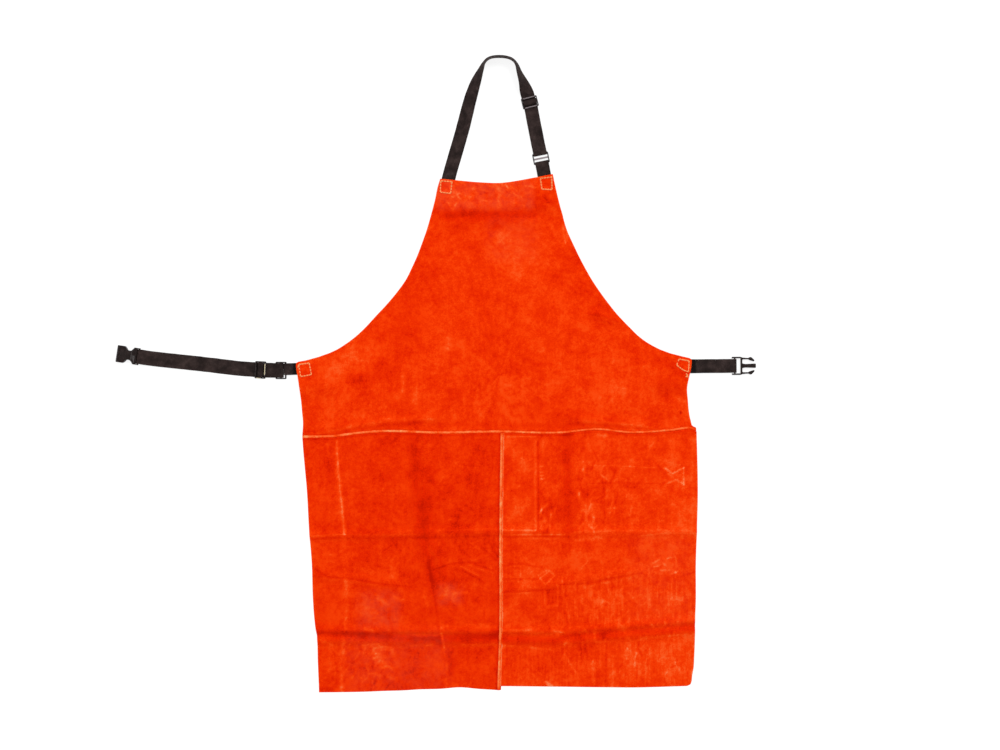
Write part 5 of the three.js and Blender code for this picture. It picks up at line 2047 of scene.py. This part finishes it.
@dataclass
class Apron:
    """The whole apron, in the order in which it is put together."""

    form: HideForm = field(default_factory=HideForm)
    heights: StrapHeights = field(default_factory=StrapHeights)
    neck_slider_y: float = 478
    neck_ring_y: float = 380
    waist_slider_x: float = -420
    waist_ring_x: float = -384
    left_edge_x: float = -359.5
    right_edge_x: float = 339.5
    edge_shadow_reach: float = 2.5
    sewn_inset: float = 4
    tail: float = 109.0
    slack: float = 1.65

    def __post_init__(self) -> None:
        """Draws the straps and finds the hardware on them."""
        self.neck = StrapPlan(NECK_PLAN)
        self.waist = StrapPlan(WAIST_PLAN)
        self.right = StrapPlan(RIGHT_PLAN)
        self.neck_slider = self.neck.find(1, self.neck_slider_y, self.neck.length / 2)
        self.neck_ring = self.neck.find(1, self.neck_ring_y, self.neck.length / 2)
        self.waist_slider = self.waist.find(0, self.waist_slider_x)
        self.waist_ring = self.waist.find(0, self.waist_ring_x)

    def panels(self) -> list[HidePanel]:
        """Lists the three panels of hide.

        Returns:
            The bib and both skirts, still to be built.
        """
        form = self.form
        bib_wrinkles = (
            Crinkles((-95, 292), (85, 338), 90, -30, 30, (6, 22), 0.35, 0.18, 1),
            Crinkles((-300, -90), (280, 20), 70, 15, 35, (8, 26), 0.22, 0.1, 2),
        )
        left_wrinkles = (
            Crinkles((-300, -545), (-190, -470), 60, 60, 40, (6, 22), 0.35, 0.15, 3),
            Crinkles((-320, -440), (-10, -110), 80, 20, 50, (8, 28), 0.22, 0.1, 4),
        )
        right_wrinkles = (
            Crinkles((110, -545), (330, -290), 90, 80, 30, (8, 30), 0.28, 0.12, 5),
            Crinkles((10, -270), (330, -110), 50, 10, 50, (8, 26), 0.22, 0.1, 6),
            Crinkles((134, -275), (205, -150), 55, 90, 18, (8, 26), 0.3, 0.14, 7),
            Crinkles((70, -278), (96, -205), 22, 80, 25, (8, 20), 0.35, 0.14, 8),
            Crinkles((215, -270), (240, -160), 14, 90, 10, (10, 26), 0.15, 0.1, 9),
        )
        left_streaks = (SoftBox((-320, -545), (-10, -110), 0.28),)
        right_streaks = (
            SoftBox((10, -545), (340, -110), 0.28),
            SoftBox((105, -434), (334, -364), 0.95),
            SoftBox((10, -545), (334, -466), 0.75),
        )
        bib_streaks = (SoftBox((-330, -95), (320, 40), 0.3),)
        bib_dust = (SoftBox((-104, 297), (52, 345), 0.22, 14), SoftBox((-8, 215), (50, 262), 0.1, 30))
        left_dust = (
            SoftBox((-250, -540), (-110, -470), 0.12, 40), SoftBox((-235, -430), (-190, -395), 0.22, 28),
            SoftBox((-100, -393), (-76, -377), 0.22, 20),
        )
        right_dust = (SoftBox((250, -420), (320, -300), 0.06, 40),)
        bib_rows, skirt_rows = (form.seam_y, form.bib_top), (form.hem_y, form.seam_y)
        return [
            HidePanel(
                "bib_panel", form, form.bib_place, bib_rows, columns=300, lines=209, flat=(0.706, 0.455),
                area=0.1936, base_tone=0.05, marks=BIB_MARKS, crinkles=bib_wrinkles, streaks=bib_streaks,
                dust=bib_dust,
            ),
            HidePanel(
                "skirt_left", form, form.left_place, skirt_rows, columns=173, lines=228, flat=(0.348, 0.455),
                area=0.1478, base_tone=-0.12, marks=LEFT_MARKS, crinkles=left_wrinkles,
                streaks=left_streaks, dust=left_dust, mark_gain=1.1,
            ),
            HidePanel(
                "skirt_right", form, form.right_place, skirt_rows, columns=173, lines=228,
                flat=(0.346, 0.455), area=0.1515, base_tone=0.06, marks=RIGHT_MARKS,
                crinkles=right_wrinkles, streaks=right_streaks, dust=right_dust, mark_gain=1.25,
            ),
        ]

    def welts(self) -> list[SeamWelt]:
        """Lists the welts in the waist seam and the centre seam.

        Returns:
            The welts, still to be built.
        """
        form = self.form
        # Paler worn places along the waist welt; the last row darkens its right end.
        worn = (
            (-189, 13, 0.42), (-340, 6, 0.3), (-250, 8, 0.15), (-60, 10, 0.12), (150, 12, 0.12),
            (346, 12, -0.3),
        )
        narrowing = ((-347, 2.1), (0, 1.9), (60, 1.4), (345, 1.4))
        # The last row paints shade over the welt's foot at the hem.
        drawn = ((-140, 10, 0.06), (-330, 14, 0.08), (-520, 16, 0.05), (-554, 5, -0.5))
        centre = float(form.centre_seam(form.seam_y))
        top = float(form.waist_seam(centre)) - form.seam_half
        foot = float(form.left_hem(form.centre_seam(form.hem_y)))
        return [
            SeamWelt(
                "waist_welt", form.waist_seam, WAIST_SEAM[0][0], WAIST_SEAM[-1][0], upright=False, wear_and_painted_light=worn,
                crest=narrowing, level=0.49, lean=0.08,
            ),
            SeamWelt("centre_welt", form.centre_seam, top, foot, upright=True, wear_and_painted_light=drawn),
        ]

    def straps(self) -> list[Strap]:
        """Lists the lengths of webbing.

        Returns:
            The straps and tabs, still to be built.
        """
        h = self.heights
        bar = h.outer_at - h.outer_turn
        neck = SideView(0, h.on_floor)
        h.adjustable_end(neck, self.neck_slider, self.neck_ring, self.neck_ring - bar)
        waist = SideView(self.tail, h.on_floor).line(h.slope, h.on_floor)
        waist.arc(0, h.socket, h.buckle_turn, (Turn.DOWN, Turn.BACK), True)
        waist.arc(0, h.socket, h.buckle_turn, (Turn.LEFT, Turn.UP), True)
        waist.line(2 * h.slope, h.on_webbing).line(self.tail + h.tuck, h.on_webbing)
        waist.line(self.tail + h.slope, h.on_floor)
        waist_turn = self.waist_ring + h.centre_turn + self.slack
        h.adjustable_end(waist, self.waist_slider, self.waist_ring, waist_turn)
        neck_sewn, waist_sewn = self.neck.length - self.sewn_inset, self.waist.length - self.sewn_inset
        neck_tab = h.tab(neck_sewn, self.neck_ring + bar, h.ring, h.frame_turn, False)
        left_tab = h.tab(waist_sewn, self.waist_ring + bar, h.ring, h.frame_turn, False)
        right_tab = h.tab(self.sewn_inset, self.right.length, h.plug, h.buckle_turn, True)
        # Painted shadow of the hide's edge where the waist tabs run out from under it.
        left_dark = ((self.waist.find(0, self.left_edge_x), self.edge_shadow_reach),)
        right_dark = ((self.right.find(0, self.right_edge_x), self.edge_shadow_reach),)
        return [
            Strap("neck_strap", self.neck, neck, width=24),
            Strap("neck_tab", self.neck, neck_tab, width=24),
            Strap("waist_strap", self.waist, waist, width=26),
            Strap("waist_tab_left", self.waist, left_tab, width=21, painted_shade=left_dark, shift=2.1),
            Strap("waist_tab_right", self.right, right_tab, width=24.5, painted_shade=right_dark),
        ]

    def hardware(self) -> list[Hardware]:
        """Lists the sliders, the rings and the buckle.

        Returns:
            The pieces, still to be built.
        """
        h = self.heights
        # Painted sheen on the neck slider's outer bars and the neck ring's middle bar; pale cream on the
        # waist slider's outer bar and lower side bar, partly worn plastic and partly painted glints.
        worn = (((6.85, 8.5), (-9.5, 11)), ((-7, 1), (-16, -13.9)))
        outer = (((7.3, 9.2), (-11, 10)), ((-9.2, -7.3), (-10, 11)))
        middle = (((-1.7, 1.7), (-12, 12)),)
        neck_ring = Seat(self.neck, self.neck_ring, h.ring)
        return [
            FrameHardware("neck_slider", Seat(self.neck, self.neck_slider, h.slider), outer, sheen_and_worn_level=0.25),
            FrameHardware("neck_ring", neck_ring, middle, sheen_and_worn_level=0.42, centre_bar=3, slot=5.4),
            FrameHardware("waist_slider", Seat(self.waist, self.waist_slider, h.slider), worn, webbing=26),
            FrameHardware("waist_ring", Seat(self.waist, self.waist_ring, h.ring), webbing=26),
            BuckleSocket("buckle_socket", Seat(self.waist, 0, h.socket)),
            BucklePlug("buckle_plug", Seat(self.right, self.right.length, h.plug)),
        ]

    def build(self) -> None:
        """Builds and dresses every piece."""
        suede, welt = SuedeFinish().material(), WeltFinish().material()
        webbing, plastic = WebbingFinish().material(), PlasticFinish().material()
        for panel in self.panels():
            panel.dress(suede)
        for strip in self.welts():
            hand_over(strip.build(welt), Slot.WELT, strip.name)
        for strap in self.straps():
            hand_over(strap.build(webbing), Slot.WEBBING, strap.name)
        for piece in self.hardware():
            piece.dress(plastic)
        Stitching("corner_stitches", self.form, THREAD_LINES).dress(ThreadFinish().material())


def main() -> None:
    """Builds the apron and its studio."""
    logging.basicConfig(level=logging.INFO, format="%(name)s: %(message)s")
    Apron().build()
    Studio().build()


if __name__ == "__main__":
    main()
